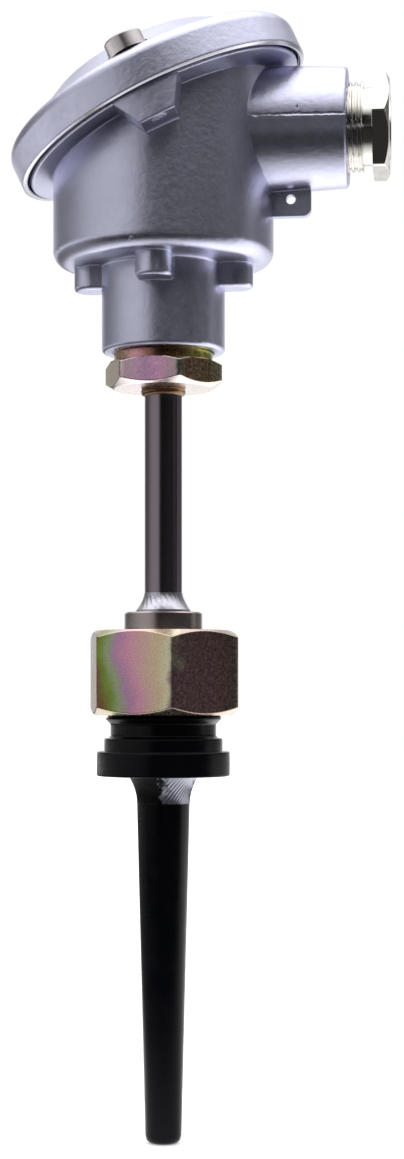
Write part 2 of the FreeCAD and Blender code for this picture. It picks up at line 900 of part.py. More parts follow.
def add_flange(body):
    disc = lid_plane(body, -size.flange_below_lip)
    draw_circle(disc, 0, 0, flange_radius)
    pad(body, disc, size.flange_below_lip + size.flange_above_lip)


def add_screw_pads(body):
    """A tapered block under the flange at the front and rear, trimmed flush with the flange."""
    low = -size.flange_below_lip - size.pad_depth
    high = size.flange_above_lip - size.pad_overlap
    block = lid_section(body)
    draw(block, [
        (-size.pad_foot_half, low),
        (size.pad_foot_half, low),
        (size.pad_root_half, -size.flange_below_lip),
        (size.pad_root_half, high),
        (-size.pad_root_half, high),
        (-size.pad_root_half, -size.flange_below_lip),
    ])
    pad(body, block, flange_radius * 2, both_ways=True)
    trim = lid_section(body)
    draw(trim, box_corners(flange_radius, low - PAST, flange_radius * 2, high + PAST))
    cut_round(body, trim)
    round_where(body, size.flange_edge, lambda spot: (
        abs(on_lid(spot)[0] - flange_radius.value) < NEAR
        and abs(on_lid(spot)[1] + size.flange_below_lip.value) < NEAR))
    round_where(body, size.flange_edge, lambda spot: abs(on_lid(spot)[1] - low.value) < NEAR)


PILLARS = 4


def off_neck(spot):
    """Whether a point stands clear of the neck's round side."""
    return math.hypot(spot.x, spot.y) > neck_radius.value + NEAR


def add_pillars(body):
    """Four pillars for the insert's screws, each running in to the neck."""
    circle = insert_screw_circle + size.pillar_offset
    foot = body_bottom - size.pillar_drop
    web = new_sketch(body, "XY_Plane", (zero, zero, foot))
    draw(web, box_corners(neck_radius / 2, -size.pillar_radius, circle, size.pillar_radius))
    post = new_sketch(body, "XY_Plane", (zero, zero, foot))
    draw_circle(post, circle, 0, size.pillar_radius)
    height = size.pillar_drop + size.body_round
    repeat_round(body, [pad(body, web, height), pad(body, post, height)], PILLARS)
    round_where(body, size.pillar_round, lambda spot: (
        abs(spot.z - foot.value) < NEAR and off_neck(spot)))


def add_entry(body):
    """The drafted boss of the cable entry."""
    start = cavity_radius - size.entry_root
    outer = size.entry_thread_radius + size.entry_wall
    flare = (entry_reach - start) * tangent(size.entry_draft)
    boss = new_sketch(body, "XZ_Plane", (zero, entry_axis, zero))
    draw(boss, [
        (start, zero),
        (entry_reach, zero),
        (entry_reach, outer - size.entry_edge, size.entry_edge),
        (entry_reach - size.entry_edge, outer),
        (start, outer + flare),
    ])
    turn_about(body, boss, axis="H_Axis")


def add_ear(body):
    """A flat ear beside the entry, with the small hole for a sealing wire."""
    bottom = lip_centre - size.ear_drop
    top = bottom + size.ear_height
    half = size.ear_thickness / 2
    root = size.body_radius - size.ear_root
    reach = size.body_radius + size.ear_stand_out
    sketch = new_sketch(body, "XZ_Plane", (zero, zero, half))
    draw(sketch, [
        (root, bottom),
        (reach - size.ear_round, bottom, size.ear_round),
        (reach, bottom + size.ear_round),
        (reach, top),
        (root, top),
    ])
    draw_circle(sketch, reach - size.ear_hole_inset, top - size.ear_hole_drop,
                size.ear_hole_radius)
    pad(body, sketch, size.ear_thickness, reverse=True)


def cut_cavity(body):
    """The bowl's inside, rounded at the floor, and the threaded neck with its passage."""
    above = lip_centre + size.body_radius
    thread = size.adapter_thread_radius + size.neck_thread_gap
    thread_end = head_base + size.adapter_thread_length + size.neck_thread_spare
    bowl = new_sketch(body)
    draw(bowl, [
        (zero, head_base),
        (thread + size.neck_thread_bevel, head_base),
        (thread, head_base + size.neck_thread_bevel),
        (thread, thread_end),
        (size.neck_passage_radius, thread_end + (thread - size.neck_passage_radius) / 2),
        (size.neck_passage_radius, floor_top),
        (cavity_radius - size.cavity_round, floor_top, size.cavity_round),
        (cavity_radius, floor_top + size.cavity_round),
        (cavity_radius, above),
        (zero, above),
    ])
    cut_round(body, bowl)


def cut_entry(body):
    """The gland's thread and the cable hole behind it."""
    cable_hole = gland_bore_radius + size.cable_hole_spare
    bore = new_sketch(body, "XZ_Plane", (zero, entry_axis, zero))
    draw(bore, [
        (zero, zero),
        (entry_reach, zero),
        (entry_reach, size.entry_thread_radius + size.entry_thread_bevel),
        (entry_reach - size.entry_thread_bevel, size.entry_thread_radius),
        (entry_step, size.entry_thread_radius),
        (entry_step, cable_hole),
        (zero, cable_hole),
    ])
    cut_round(body, bore, axis="H_Axis")


def cut_screw_holes(body):
    """Two tapped holes for the lid, and four in the pillars for the insert."""
    lid_holes = lid_plane(body, size.flange_above_lip)
    for side in (-1, 1):
        draw_circle(lid_holes, zero, lid_screw_circle * side, size.lid_screw_radius)
    pocket(body, lid_holes, size.lid_screw_hole_depth)
    floor = new_sketch(body, "XY_Plane", (zero, zero, floor_top))
    for across, along in ((1, 0), (-1, 0), (0, 1), (0, -1)):
        draw_circle(floor, insert_screw_circle * across, insert_screw_circle * along,
                    size.insert_screw_radius)
    pocket(body, floor, size.insert_screw_depth)


def cut_seal_groove(body):
    """The groove in the flange that keeps the lid's gasket."""
    groove = lid_section(body)
    draw(groove, box_corners(seal_inner - size.seal_side_gap,
                             size.flange_above_lip - size.seal_sink,
                             seal_outer + size.seal_side_gap,
                             size.flange_above_lip + PAST))
    cut_round(body, groove)


def make_head_housing():
    body = new_body("head_housing")
    add_bowl(body)
    add_flange(body)
    add_screw_pads(body)
    add_pillars(body)
    add_entry(body)
    add_ear(body)
    cut_cavity(body)
    cut_entry(body)
    cut_screw_holes(body)
    cut_seal_groove(body)
    return body


# Lid, gasket, lid screws and washers. Each is drawn upright and then leaned over with the lid.

def lean_with_lid(body, across=zero):
    """Puts a body's own Z axis on the lid's axis, its origin on the lip plane."""
    place(body, "Placement", (zero, across, lip_centre), -Y_AXIS, size.lid_tilt)
    return body


def make_lid_gasket():
    bottom = size.flange_above_lip - size.seal_sink
    top = size.flange_above_lip + size.lid_gap
    body = turned_body("lid_gasket", box_corners(seal_inner, bottom, seal_outer, top))
    return lean_with_lid(body)


def make_head_lid():
    """A die-cast cap: skirt, sloping shoulder and flat crown over an even wall, a land that
    presses the gasket, and two screw bosses in pockets open to the outside."""
    seat = size.flange_above_lip + size.lid_gap
    inner = lid_radius - size.skirt_wall
    step = lid_radius - size.lid_step_inset
    crown = step - size.lid_slope_width
    rim_slope, side_slope = size.lid_rim_angle, size.lid_side_angle
    step_top = size.lid_rim_height + size.lid_step_inset * tangent(rim_slope)
    top = step_top + size.lid_slope_width * tangent(side_slope)
    ceiling = top - size.lid_wall
    step_ceiling = step_top - size.lid_wall
    rim_run = size.lid_rim_round * tangent((as_length(RIGHT_ANGLE) - rim_slope) / 2)
    step_run = size.lid_step_round * tangent((side_slope - rim_slope) / 2)
    crown_run = size.lid_crown_round * tangent(side_slope / 2)
    land_inner = seal_inner - size.lid_land_inset
    land_outer = seal_outer + size.lid_land_spare
    body = new_body("head_lid")
    section = new_sketch(body)
    draw(section, [
        (inner, zero),
        (lid_radius, zero),
        (lid_radius, size.lid_rim_height - rim_run, size.lid_rim_round),
        (lid_radius - rim_run * cosine(rim_slope), size.lid_rim_height + rim_run * sine(rim_slope)),
        (step + step_run * cosine(rim_slope), step_top - step_run * sine(rim_slope),
         -size.lid_step_round),
        (step - step_run * cosine(side_slope), step_top + step_run * sine(side_slope)),
        (crown + crown_run * cosine(side_slope), top - crown_run * sine(side_slope),
         size.lid_crown_round),
        (crown - crown_run, top),
        (zero, top),
        (zero, ceiling),
        (crown, ceiling),
        (land_inner, ceiling - (land_inner - crown) * tangent(side_slope)),
        (land_inner, seat),
        (land_outer, seat),
        (land_outer, step_ceiling + (step - land_outer) * tangent(side_slope)),
        (step, step_ceiling),
        (inner, step_ceiling - (inner - step) * tangent(rim_slope)),
    ])
    turn_about(body, section)
    bosses = new_sketch(body, "XY_Plane", (zero, zero, seat))
    for side in (-1, 1):
        draw_circle(bosses, zero, lid_screw_circle * side, size.lid_boss_radius)
    pad(body, bosses, size.lid_pocket_floor - size.lid_boss_sink - seat)
    pockets = new_sketch(body, "XY_Plane", (zero, zero, size.lid_pocket_floor))
    for side in (-1, 1):
        draw_circle(pockets, zero, lid_screw_circle * side, size.lid_pocket_radius)
    pocket(body, pockets, top, reverse=True)
    holes = new_sketch(body, "XY_Plane", (zero, zero, seat))
    for side in (-1, 1):
        draw_circle(holes, zero, lid_screw_circle * side, size.lid_screw_radius + size.lid_hole_gap)
    pocket(body, holes, top, reverse=True)
    return lean_with_lid(body)


def make_lid_washer(name, side):
    top = size.lid_pocket_floor + size.washer_thickness
    hole = size.lid_screw_radius + size.washer_hole_gap
    body = turned_body(name, box_corners(hole, size.lid_pocket_floor, size.washer_radius, top))
    return lean_with_lid(body, lid_screw_circle * side)


def make_lid_screw(name, side):
    """A slotted cheese-head screw."""
    seat = size.lid_pocket_floor + size.washer_thickness
    top = seat + size.screw_head_length
    shank = size.lid_screw_radius - size.lid_screw_gap
    point = seat - size.screw_reach
    body = turned_body(name, [
        (zero, point),
        (shank - size.screw_point, point),
        (shank, point + size.screw_point),
        (shank, seat),
        (size.screw_head_radius, seat),
        (size.screw_head_radius, top - size.screw_head_round, size.screw_head_round),
        (size.screw_head_radius - size.screw_head_round, top),
        (zero, top),
    ])
    slot = new_sketch(body, "XY_Plane", (zero, zero, top))
    half = size.screw_slot_width / 2
    reach = size.screw_head_radius + PAST
    draw(slot, box_corners(-reach, -half, reach, half))
    pocket(body, slot, size.screw_slot_depth)
    return lean_with_lid(body, lid_screw_circle * side)


# Cable gland: pressure screw, thrust washer, rubber ring and inner washer, all on the entry's
# axis. Each is drawn upright, with its own Z axis then laid along +X.

def lay_on_entry(body):
    place(body, "Placement", (zero, zero, entry_axis), Y_AXIS, RIGHT_ANGLE)
    return body


def make_pressure_screw():
    crest = size.entry_thread_radius - size.gland_thread_gap
    relief_start = gland_hex_start - size.gland_relief_length
    middle = gland_hex_start + size.gland_hex_length / 2
    end = gland_hex_start + size.gland_hex_length
    body = new_body("gland_pressure_screw")
    hexagon = new_sketch(body, "XY_Plane", (zero, zero, gland_hex_start))
    draw_hexagon(hexagon, size.gland_flats, size.gland_turn)
    pad(body, hexagon, size.gland_hex_length)
    bevel_hexagon(body, gland_hex_start, end, size.gland_flats, None, size.gland_hex_edge)
    stem = new_sketch(body)
    draw(stem, [
        (zero, gland_nose),
        (crest - size.gland_nose_edge, gland_nose),
        (crest, gland_nose + size.gland_nose_edge),
        (crest, relief_start),
        (gland_relief_radius, relief_start),
        (gland_relief_radius, middle),
        (zero, middle),
    ])
    turn_about(body, stem)
    bore = new_sketch(body)
    draw(bore, [
        (zero, gland_nose),
        (gland_bore_radius, gland_nose),
        (gland_bore_radius, end - size.gland_bore_bevel),
        (gland_bore_radius + size.gland_bore_bevel, end),
        (zero, end),
    ])
    cut_round(body, bore)
    return lay_on_entry(body)


def make_gland_stack():
    """From the inside out: inner washer, rubber ring, and the thrust washer at the screw's nose."""
    outer = size.entry_thread_radius - size.gland_washer_gap
    seal_side = size.entry_thread_radius - size.gland_seal_gap
    seal_bore = gland_bore_radius - size.gland_seal_inset
    bevel = size.gland_seal_inset / 2
    low = entry_step + size.gland_washer_thickness
    high = low + size.gland_seal_length
    lay_on_entry(turned_body("gland_inner_washer",
                             box_corners(gland_bore_radius, entry_step, outer, low)))
    lay_on_entry(turned_body("gland_seal_ring", [
        (seal_bore + bevel, low),
        (seal_side, low),
        (seal_side, high),
        (seal_bore + bevel, high),
        (seal_bore, high - bevel),
        (seal_bore, low + bevel),
    ]))
    thrust = gland_nose - size.gland_washer_thickness
    lay_on_entry(turned_body("gland_thrust_washer",
                             box_corners(gland_bore_radius, thrust, outer, gland_nose)))


# Measuring insert: plate, sleeve, thin sheath with its core and sensing element, terminal block.

def make_insert_plate():
    body = new_body("insert_plate")
    disc = new_sketch(body, "XY_Plane", (zero, zero, floor_top))
    draw_circle(disc, 0, 0, insert_plate_radius)
    draw_circle(disc, 0, 0, size.sleeve_radius)
    hole = size.insert_screw_radius + size.insert_hole_gap
    for side in (-1, 1):
        draw_circle(disc, zero, insert_screw_circle * side, hole)
    pad(body, disc, size.insert_plate_thickness)
    return body


def make_insert_sleeve():
    """The sleeve that is pressed into the plate and crimped on the sheath."""
    bottom = plate_top - size.sleeve_length
    return turned_body("insert_sleeve", [
        (size.sheath_radius, bottom),
        (size.sleeve_radius - size.sleeve_bevel, bottom),
        (size.sleeve_radius, bottom + size.sleeve_bevel),
        (size.sleeve_radius, plate_top),
        (sleeve_collar_radius, plate_top),
        (sleeve_collar_radius, sleeve_top),
        (size.sheath_radius, sleeve_top),
    ])


def make_insert_sheath():
    tip = stem_bore_end + size.sheath_gap
    inner = size.sheath_radius - size.sheath_wall
    body = turned_body("insert_sheath", [
        (zero, tip),
        (size.sheath_radius, tip),
        (size.sheath_radius, sleeve_top),
        (inner, sleeve_top),
        (inner, tip + size.sheath_end),
        (zero, tip + size.sheath_end),
    ])
    round_edges(body, size.sheath_radius, tip, size.sheath_round)
    return body


def make_insert_core():
    """Compacted magnesia and its conductors, from above the sensing element to the top."""
    tip = stem_bore_end + size.sheath_gap + size.sheath_end
    element_top = tip + size.element_length
    inner = size.sheath_radius - size.sheath_wall
    turned_body("insert_core", box_corners(zero, element_top, inner, sleeve_top))
    turned_body("rtd_element", [
        (zero, tip),
        (size.element_radius, tip),
        (size.element_radius, element_top),
        (zero, element_top),
    ])


def make_insert_screws():
    """Two slotted screws whose springs press the insert down into the thermowell."""
    seat = plate_top + size.insert_screw_lift
    top = seat + size.insert_screw_head_length
    shank = size.insert_screw_radius - size.insert_screw_gap
    point = floor_top - size.insert_screw_depth + size.insert_screw_room
    reach = insert_screw_head + PAST
    half = size.insert_screw_slot / 2
    for name, side in (("front", -1), ("rear", 1)):
        screw = turned_body("insert_screw_" + name, [
            (zero, point),
            (shank, point),
            (shank, seat),
            (insert_screw_head, seat),
            (insert_screw_head, top - size.insert_screw_head_edge),
            (insert_screw_head - size.insert_screw_head_edge, top),
            (zero, top),
        ])
        slot = new_sketch(screw, "XY_Plane", (zero, zero, top))
        draw(slot, box_corners(-reach, -half, reach, half))
        pocket(screw, slot, size.insert_screw_slot)
        place(screw, "Placement", (zero, insert_screw_circle * side, zero))


def make_insert_springs():
    """A wire coil round each insert screw, between the plate and the screw's head."""
    rise = size.insert_screw_lift - size.spring_wire * 2
    radius = size.insert_screw_radius + size.spring_step
    for name, side in (("front", -1), ("rear", 1)):
        label = "insert_spring_" + name
        coil = document.addObject("Part::Helix", label + "_line")
        bind(coil, "Radius", radius)
        bind(coil, "Height", rise)
        bind(coil, "Pitch", rise / size.spring_turns)
        wire = document.addObject("Part::Circle", label + "_wire")
        bind(wire, "Radius", size.spring_wire)
        place(wire, "Placement", (radius, zero, zero), X_AXIS, RIGHT_ANGLE)
        spring = document.addObject("Part::Sweep", label)
        spring.Sections = [wire]
        spring.Spine = (coil, ["Edge1"])
        spring.Solid = True
        spring.Frenet = True
        spring.Label = label
        place(spring, "Placement", (zero, insert_screw_circle * side,
                                    plate_top + size.spring_wire))


TERMINALS = 4


def terminal_sketch(body, height):
    """A level sketch turned to the first terminal, so that its x runs out along the pocket."""
    return new_sketch(body, "XY_Plane", (zero, zero, height), Z_AXIS, size.terminal_turn)


def terminal_body(name):
    """One body that holds the four solids of a set of terminals."""
    body = new_body(name)
    body.AllowCompound = True
    return body


def make_terminal_block():
    """A ceramic disc with a bore for the leads, two notches for the screws and four pockets."""
    relief = sleeve_collar_radius + size.block_relief_room
    relief_top = sleeve_top + size.block_relief_room
    body = turned_body("terminal_block", [
        (size.block_bore, relief_top),
        (relief, relief_top),
        (relief, plate_top),
        (block_radius, plate_top),
        (block_radius, block_top - size.block_edge),
        (block_radius - size.block_edge, block_top),
        (size.block_bore, block_top),
    ])
    notches = new_sketch(body, "XY_Plane", (zero, zero, plate_top))
    for side in (-1, 1):
        draw_circle(notches, zero, insert_screw_circle * side, size.block_notch)
    pocket(body, notches, size.block_height, reverse=True)
    half = size.pocket_width / 2
    recess = terminal_sketch(body, block_top)
    draw(recess, box_corners(size.pocket_inner, -half, block_radius + PAST, half))
    repeat_round(body, [pocket(body, recess, size.pocket_depth)], TERMINALS)
    return body


def make_terminal_clamps():
    """Four brass clamps in the block's pockets, each with a screw's hole and a lead's hole."""
    body = terminal_body("terminal_clamps")
    start = size.pocket_inner + size.clamp_end_gap
    half = size.pocket_width / 2 - size.clamp_side_gap
    plan = terminal_sketch(body, clamp_base)
    draw(plan, box_corners(start, -half, start + size.clamp_length, half))
    draw_circle(plan, size.clamp_screw_seat, 0, size.clamp_thread_radius)
    repeat_round(body, [pad(body, plan, size.clamp_height)], TERMINALS)
    wells = terminal_sketch(body, clamp_top)
    draw_circle(wells, size.clamp_wire_seat, 0, size.lead_radius)
    repeat_round(body, [pocket(body, wells, size.clamp_wire_depth)], TERMINALS)


def make_terminal_screws():
    body = terminal_body("terminal_screws")
    head_radius = size.clamp_thread_radius + size.clamp_screw_head_step
    shank = size.clamp_thread_radius - size.clamp_thread_gap
    head_top = clamp_top + size.clamp_screw_head_length
    for radius, bottom, top in ((head_radius, clamp_top, head_top),
                                (shank, clamp_top - size.clamp_screw_length, clamp_top)):
        disc = terminal_sketch(body, bottom)
        draw_circle(disc, size.clamp_screw_seat, 0, radius)
        repeat_round(body, [pad(body, disc, top - bottom)], TERMINALS)
    half = size.clamp_screw_slot / 2
    reach = head_radius + PAST
    slot = terminal_sketch(body, head_top)
    draw(slot, box_corners(size.clamp_screw_seat - reach, -half,
                           size.clamp_screw_seat + reach, half))
    repeat_round(body, [pocket(body, slot, size.clamp_screw_slot)], TERMINALS)


def make_insert_leads():
    """Four leads that rise from the sleeve, bend over the block and end in their clamps."""
    body = terminal_body("insert_leads")
    crest = block_top + size.lead_rise
    bend = (size.clamp_wire_seat - size.lead_circle) / 2
    route = new_sketch(body, "XZ_Plane", (zero, zero, zero), Y_AXIS, size.terminal_turn)
    draw(route, [
        (size.lead_circle, sleeve_top),
        (size.lead_circle, crest - bend, -(bend * JUST_OVER)),
        (size.clamp_wire_seat, crest - bend),
        (size.clamp_wire_seat, clamp_top - size.clamp_wire_depth),
    ], closed=False)
    plan = terminal_sketch(body, sleeve_top)
    draw_circle(plan, size.lead_circle, 0, size.lead_radius)
    pipe = body.newObject("PartDesign::AdditivePipe", "pipe")
    pipe.Profile = plan
    pipe.Spine = (route, [])
    document.recompute()
    repeat_round(body, [pipe], TERMINALS)


make_well_collar()
make_well_stem()
make_well_weld()
make_union_nut()
make_cone_nipple()
make_nipple_seal()
make_nipple_weld()
make_neck_tube()
make_adapter_weld()
make_neck_adapter()
make_head_housing()
make_lid_gasket()
make_head_lid()
for name, side in (("front", -1), ("rear", 1)):
    make_lid_washer("lid_washer_" + name, side)
    make_lid_screw("lid_screw_" + name, side)
make_pressure_screw()
make_gland_stack()
make_insert_plate()
make_insert_sleeve()
make_insert_sheath()
make_insert_core()
make_insert_screws()
make_insert_springs()
make_terminal_block()
make_terminal_clamps()
make_terminal_screws()
make_insert_leads()
document.recompute()

SOLIDS = ("PartDesign::Body", "Part::Sweep")
pieces = [item for item in document.Objects if item.TypeId in SOLIDS]

for item in document.Objects:
    if "Invalid" in item.State or "Error" in item.State:
        raise ValueError("%s failed: %s" % (item.Label, item.State))
for piece in pieces:
    if piece.Shape.isNull() or not piece.Shape.isValid() or not piece.Shape.Solids:
        raise ValueError("%s has no valid solid" % piece.Label)

os.makedirs("parts", exist_ok=True)
for piece in pieces:
    piece.Shape.exportStep(os.path.join("parts", piece.Label + ".step"))
    box = piece.Shape.BoundBox
    print("%-22s %d solid(s) %10.1f mm3  z %.2f to %.2f" % (
        piece.Label, len(piece.Shape.Solids), piece.Shape.Volume, box.ZMin, box.ZMax))
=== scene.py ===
import math

import bmesh
import bpy
import numpy as np
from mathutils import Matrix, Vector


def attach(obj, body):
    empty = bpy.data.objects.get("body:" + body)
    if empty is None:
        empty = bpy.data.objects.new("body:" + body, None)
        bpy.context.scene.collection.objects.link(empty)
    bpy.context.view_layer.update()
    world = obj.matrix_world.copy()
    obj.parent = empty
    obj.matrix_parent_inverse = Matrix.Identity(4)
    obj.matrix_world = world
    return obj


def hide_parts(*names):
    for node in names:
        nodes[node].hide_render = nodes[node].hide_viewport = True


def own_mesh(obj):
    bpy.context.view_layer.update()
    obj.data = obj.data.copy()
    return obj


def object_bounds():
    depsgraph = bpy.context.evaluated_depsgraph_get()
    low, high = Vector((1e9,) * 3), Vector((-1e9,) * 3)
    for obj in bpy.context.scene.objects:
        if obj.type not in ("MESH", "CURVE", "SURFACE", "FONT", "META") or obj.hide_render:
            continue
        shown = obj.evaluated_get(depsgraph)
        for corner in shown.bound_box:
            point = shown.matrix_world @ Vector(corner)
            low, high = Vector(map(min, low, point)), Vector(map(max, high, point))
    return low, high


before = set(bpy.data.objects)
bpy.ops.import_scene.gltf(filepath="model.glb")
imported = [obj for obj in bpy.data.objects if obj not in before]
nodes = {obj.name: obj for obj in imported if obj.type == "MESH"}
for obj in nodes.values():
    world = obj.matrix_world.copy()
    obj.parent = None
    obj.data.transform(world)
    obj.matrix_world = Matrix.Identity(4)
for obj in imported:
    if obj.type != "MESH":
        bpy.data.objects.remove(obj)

scene = bpy.context.scene
cad_box = [list(corner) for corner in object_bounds()]


# Camera: level, at the height of the union nut and about 57 cm from the probe. Its frame is
# shifted up to the head, so upright edges stay upright and the flange shows its underside.

CAMERA_PLACE = (0.0739, -0.5613, 0.0200)
CAMERA_TURN = (90.0, 0.0, 7.5)
FOCAL_LENGTH = 68.58
FRAME_SHIFT = (0.0333, 0.1022)

camera_data = bpy.data.cameras.new("camera")
camera_data.lens = FOCAL_LENGTH
camera_data.shift_x, camera_data.shift_y = FRAME_SHIFT
camera = bpy.data.objects.new("camera", camera_data)
camera.location = CAMERA_PLACE
camera.rotation_euler = [math.radians(turn) for turn in CAMERA_TURN]
scene.collection.objects.link(camera)
bpy.context.scene.camera = camera
scene.view_settings.view_transform = "Standard"


# Studio: a white wall behind, a broad soft light on the left, a soft ceiling and a lit white table
# below. The room towards the camera is dark, which gives metal its dark middle.

WHITE = (1.0, 1.0, 1.0, 1.0)
CAMERA_SIDE = (0.1305, -0.9914, 0.0)
CAMERA_RIGHT = (0.9914, 0.1305, 0.0)
# lights round the horizon: degrees to the right of the camera's side, and level
HALF_TURN = 180
ROUND_LIGHTS = (
    (-180, 0.55), (-165, 0.40), (-145, 0.24), (-118, 0.22), (-98, 0.40), (-80, 0.66), (-58, 0.77),
    (-40, 0.74), (-29, 0.65), (-22, 0.08), (-13, 0.012), (10, 0.012), (30, 0.03), (60, 0.03),
    (68, 0.12), (76, 0.12), (84, 0.04), (97, 0.05), (100, 0.44), (105, 0.44), (109, 0.10),
    (115, 0.15), (140, 0.28), (160, 0.45), (180, 0.55))
# they thin out towards their foot: their share there, and a ray's rise where it ends and where all is lit
LOW_SHARE, LOW_RISE, FULL_RISE = 0.80, 0.165, 0.245
# ceiling: a ray's rise at its edge and where it is full, and its level
CEILING_START, CEILING_FULL, CEILING_LEVEL = 0.30, 0.90, 1.95
# white wall in mirrors: how straight away from the camera a ray runs at its edge and where it is full
WALL_START, WALL_FULL = 0.80, 0.96
# light from the table in mirrors: metres towards the camera, and level
TABLE_LIGHTS = (
    (-4.0, 1.0), (-1.15, 1.0), (-0.95, 0.80), (-0.62, 0.80), (-0.40, 1.75), (-0.06, 1.75),
    (0.16, 0.03), (1.20, 0.03), (1.50, 0.60), (2.20, 0.60), (2.60, 0.03))
# a colour ramp holds levels up to 1, so the table's are divided by this there and multiplied after
TABLE_TOP = 2.0
# the table's light falls off to the left: metres across where it starts and ends, and what is left
TABLE_LEFT, TABLE_LEFT_END, TABLE_LEFT_SHARE = -0.04, -0.20, 0.14
# the left light stands on the floor: metres across to its foot and to its full light, and its level
LEFT_FOOT, LEFT_FULL, LEFT_LEVEL = -1.10, -1.50, 1.45
# floor: half its side in metres, the shade of its paint, and a glow that keeps its shadows pale
FLOOR_HALF, FLOOR_SHADE, FLOOR_GLOW = 4.0, 0.80, 0.45


def add(tree, kind, inputs, **settings):
    """Adds one shader node with its settings. Each input takes a value, another node's output, or a
    node, which stands for its first output."""
    made = tree.nodes.new("ShaderNode" + kind)
    for name, value in settings.items():
        setattr(made, name, value)
    for socket, value in inputs.items():
        if isinstance(value, bpy.types.Node):
            value = value.outputs[0]
        if isinstance(value, bpy.types.NodeSocket):
            tree.links.new(value, made.inputs[socket])
        else:
            made.inputs[socket].default_value = value
    return made


def fill_ramp(node, half, stops):
    """Sets a colour ramp's stops from (at, colour) pairs, in which at runs from -half to half."""
    ramp = node.color_ramp
    while len(ramp.elements) < len(stops):
        ramp.elements.new(0.5)
    for element, (at, colour) in zip(ramp.elements, stops):
        element.position = (at + half) / (2 * half)
        element.color = colour


world = bpy.data.worlds.new("studio")
world.use_nodes = True
scene.world = world
tree = world.node_tree
tree.nodes.clear()
direction = add(tree, "TexCoord", {}).outputs["Generated"]
ahead = add(tree, "VectorMath", {0: direction, 1: CAMERA_SIDE}, operation="DOT_PRODUCT").outputs["Value"]
aside = add(tree, "VectorMath", {0: direction, 1: CAMERA_RIGHT}, operation="DOT_PRODUCT").outputs["Value"]
bearing = add(tree, "Math", {0: aside, 1: ahead}, operation="ARCTAN2")
turned = add(tree, "MapRange", {"Value": bearing, "From Min": -math.pi, "From Max": math.pi})
horizon = add(tree, "ValToRGB", {0: turned})
fill_ramp(horizon, HALF_TURN, [(at, (light, light, light, 1.0)) for at, light in ROUND_LIGHTS])
rise = add(tree, "SeparateXYZ", {0: direction}).outputs["Z"]
ceiling = add(tree, "MapRange", {"Value": rise, "From Min": CEILING_START, "From Max": CEILING_FULL,
                                 "To Min": 0.0, "To Max": CEILING_LEVEL}, interpolation_type="SMOOTHSTEP")
footing = add(tree, "MapRange", {"Value": rise, "From Min": LOW_RISE, "From Max": FULL_RISE,
                                 "To Min": LOW_SHARE, "To Max": 1.0}, interpolation_type="SMOOTHSTEP")
standing = add(tree, "Math", {0: horizon, 1: footing}, operation="MULTIPLY")
level = add(tree, "Math", {0: standing, 1: ceiling}, operation="MAXIMUM")
path = add(tree, "LightPath", {})
shiny = add(tree, "Math", {0: path.outputs["Is Glossy Ray"], 1: path.outputs["Is Transmission Ray"]},
            operation="MAXIMUM")
away = add(tree, "Math", {0: ahead, 1: -1.0}, operation="MULTIPLY")
behind = add(tree, "MapRange", {"Value": away, "From Min": WALL_START, "From Max": WALL_FULL},
             interpolation_type="SMOOTHSTEP")
mirrored = add(tree, "Math", {0: shiny, 1: behind}, operation="MULTIPLY")
wall_seen = add(tree, "Math", {0: path.outputs["Is Camera Ray"], 1: mirrored}, operation="MAXIMUM")
studio_light = add(tree, "Background", {"Color": WHITE, "Strength": level})
white_wall = add(tree, "Background", {"Color": WHITE, "Strength": 1.0})
shown = add(tree, "MixShader", {0: wall_seen, 1: studio_light, 2: white_wall})
add(tree, "OutputWorld", {"Surface": shown})

floor_material = bpy.data.materials.new("white_lit_table")
floor_material.use_nodes = True
tree = floor_material.node_tree
tree.nodes.clear()
spot = add(tree, "NewGeometry", {}).outputs["Position"]
reach = add(tree, "VectorMath", {0: spot, 1: CAMERA_SIDE}, operation="DOT_PRODUCT").outputs["Value"]
way = add(tree, "MapRange", {"Value": reach, "From Min": -FLOOR_HALF, "From Max": FLOOR_HALF})
glow = add(tree, "ValToRGB", {0: way})
fill_ramp(glow, FLOOR_HALF, [(at, (light / TABLE_TOP,) * 3 + (1.0,)) for at, light in TABLE_LIGHTS])
across = add(tree, "VectorMath", {0: spot, 1: CAMERA_RIGHT}, operation="DOT_PRODUCT").outputs["Value"]
side = add(tree, "MapRange", {"Value": across, "From Min": TABLE_LEFT_END, "From Max": TABLE_LEFT,
                              "To Min": TABLE_TOP * TABLE_LEFT_SHARE, "To Max": TABLE_TOP},
           interpolation_type="SMOOTHSTEP")
foot = add(tree, "MapRange", {"Value": across, "From Min": LEFT_FOOT, "From Max": LEFT_FULL,
                              "To Max": LEFT_LEVEL}, interpolation_type="SMOOTHSTEP")
table = add(tree, "Emission", {"Color": glow, "Strength": side})
left_light = add(tree, "Emission", {"Color": WHITE, "Strength": foot})
table_light = add(tree, "AddShader", {0: table, 1: left_light})
paint = add(tree, "BsdfDiffuse", {"Color": (FLOOR_SHADE,) * 3 + (1.0,)})
pale = add(tree, "Emission", {"Color": WHITE, "Strength": FLOOR_GLOW})
shadowed = add(tree, "AddShader", {0: paint, 1: pale})
seen = add(tree, "LightPath", {}).outputs["Is Camera Ray"]
both = add(tree, "MixShader", {0: seen, 1: table_light, 2: shadowed})
add(tree, "OutputMaterial", {"Surface": both})

floor_height = cad_box[0][2]
floor_mesh = bpy.data.meshes.new("floor")
floor_corners = [(-FLOOR_HALF, -FLOOR_HALF, floor_height), (FLOOR_HALF, -FLOOR_HALF, floor_height),
                 (FLOOR_HALF, FLOOR_HALF, floor_height), (-FLOOR_HALF, FLOOR_HALF, floor_height)]
floor_mesh.from_pydata(floor_corners, [], [(0, 1, 2, 3)])
floor_mesh.materials.append(floor_material)
floor = bpy.data.objects.new("floor", floor_mesh)
scene.collection.objects.link(floor)


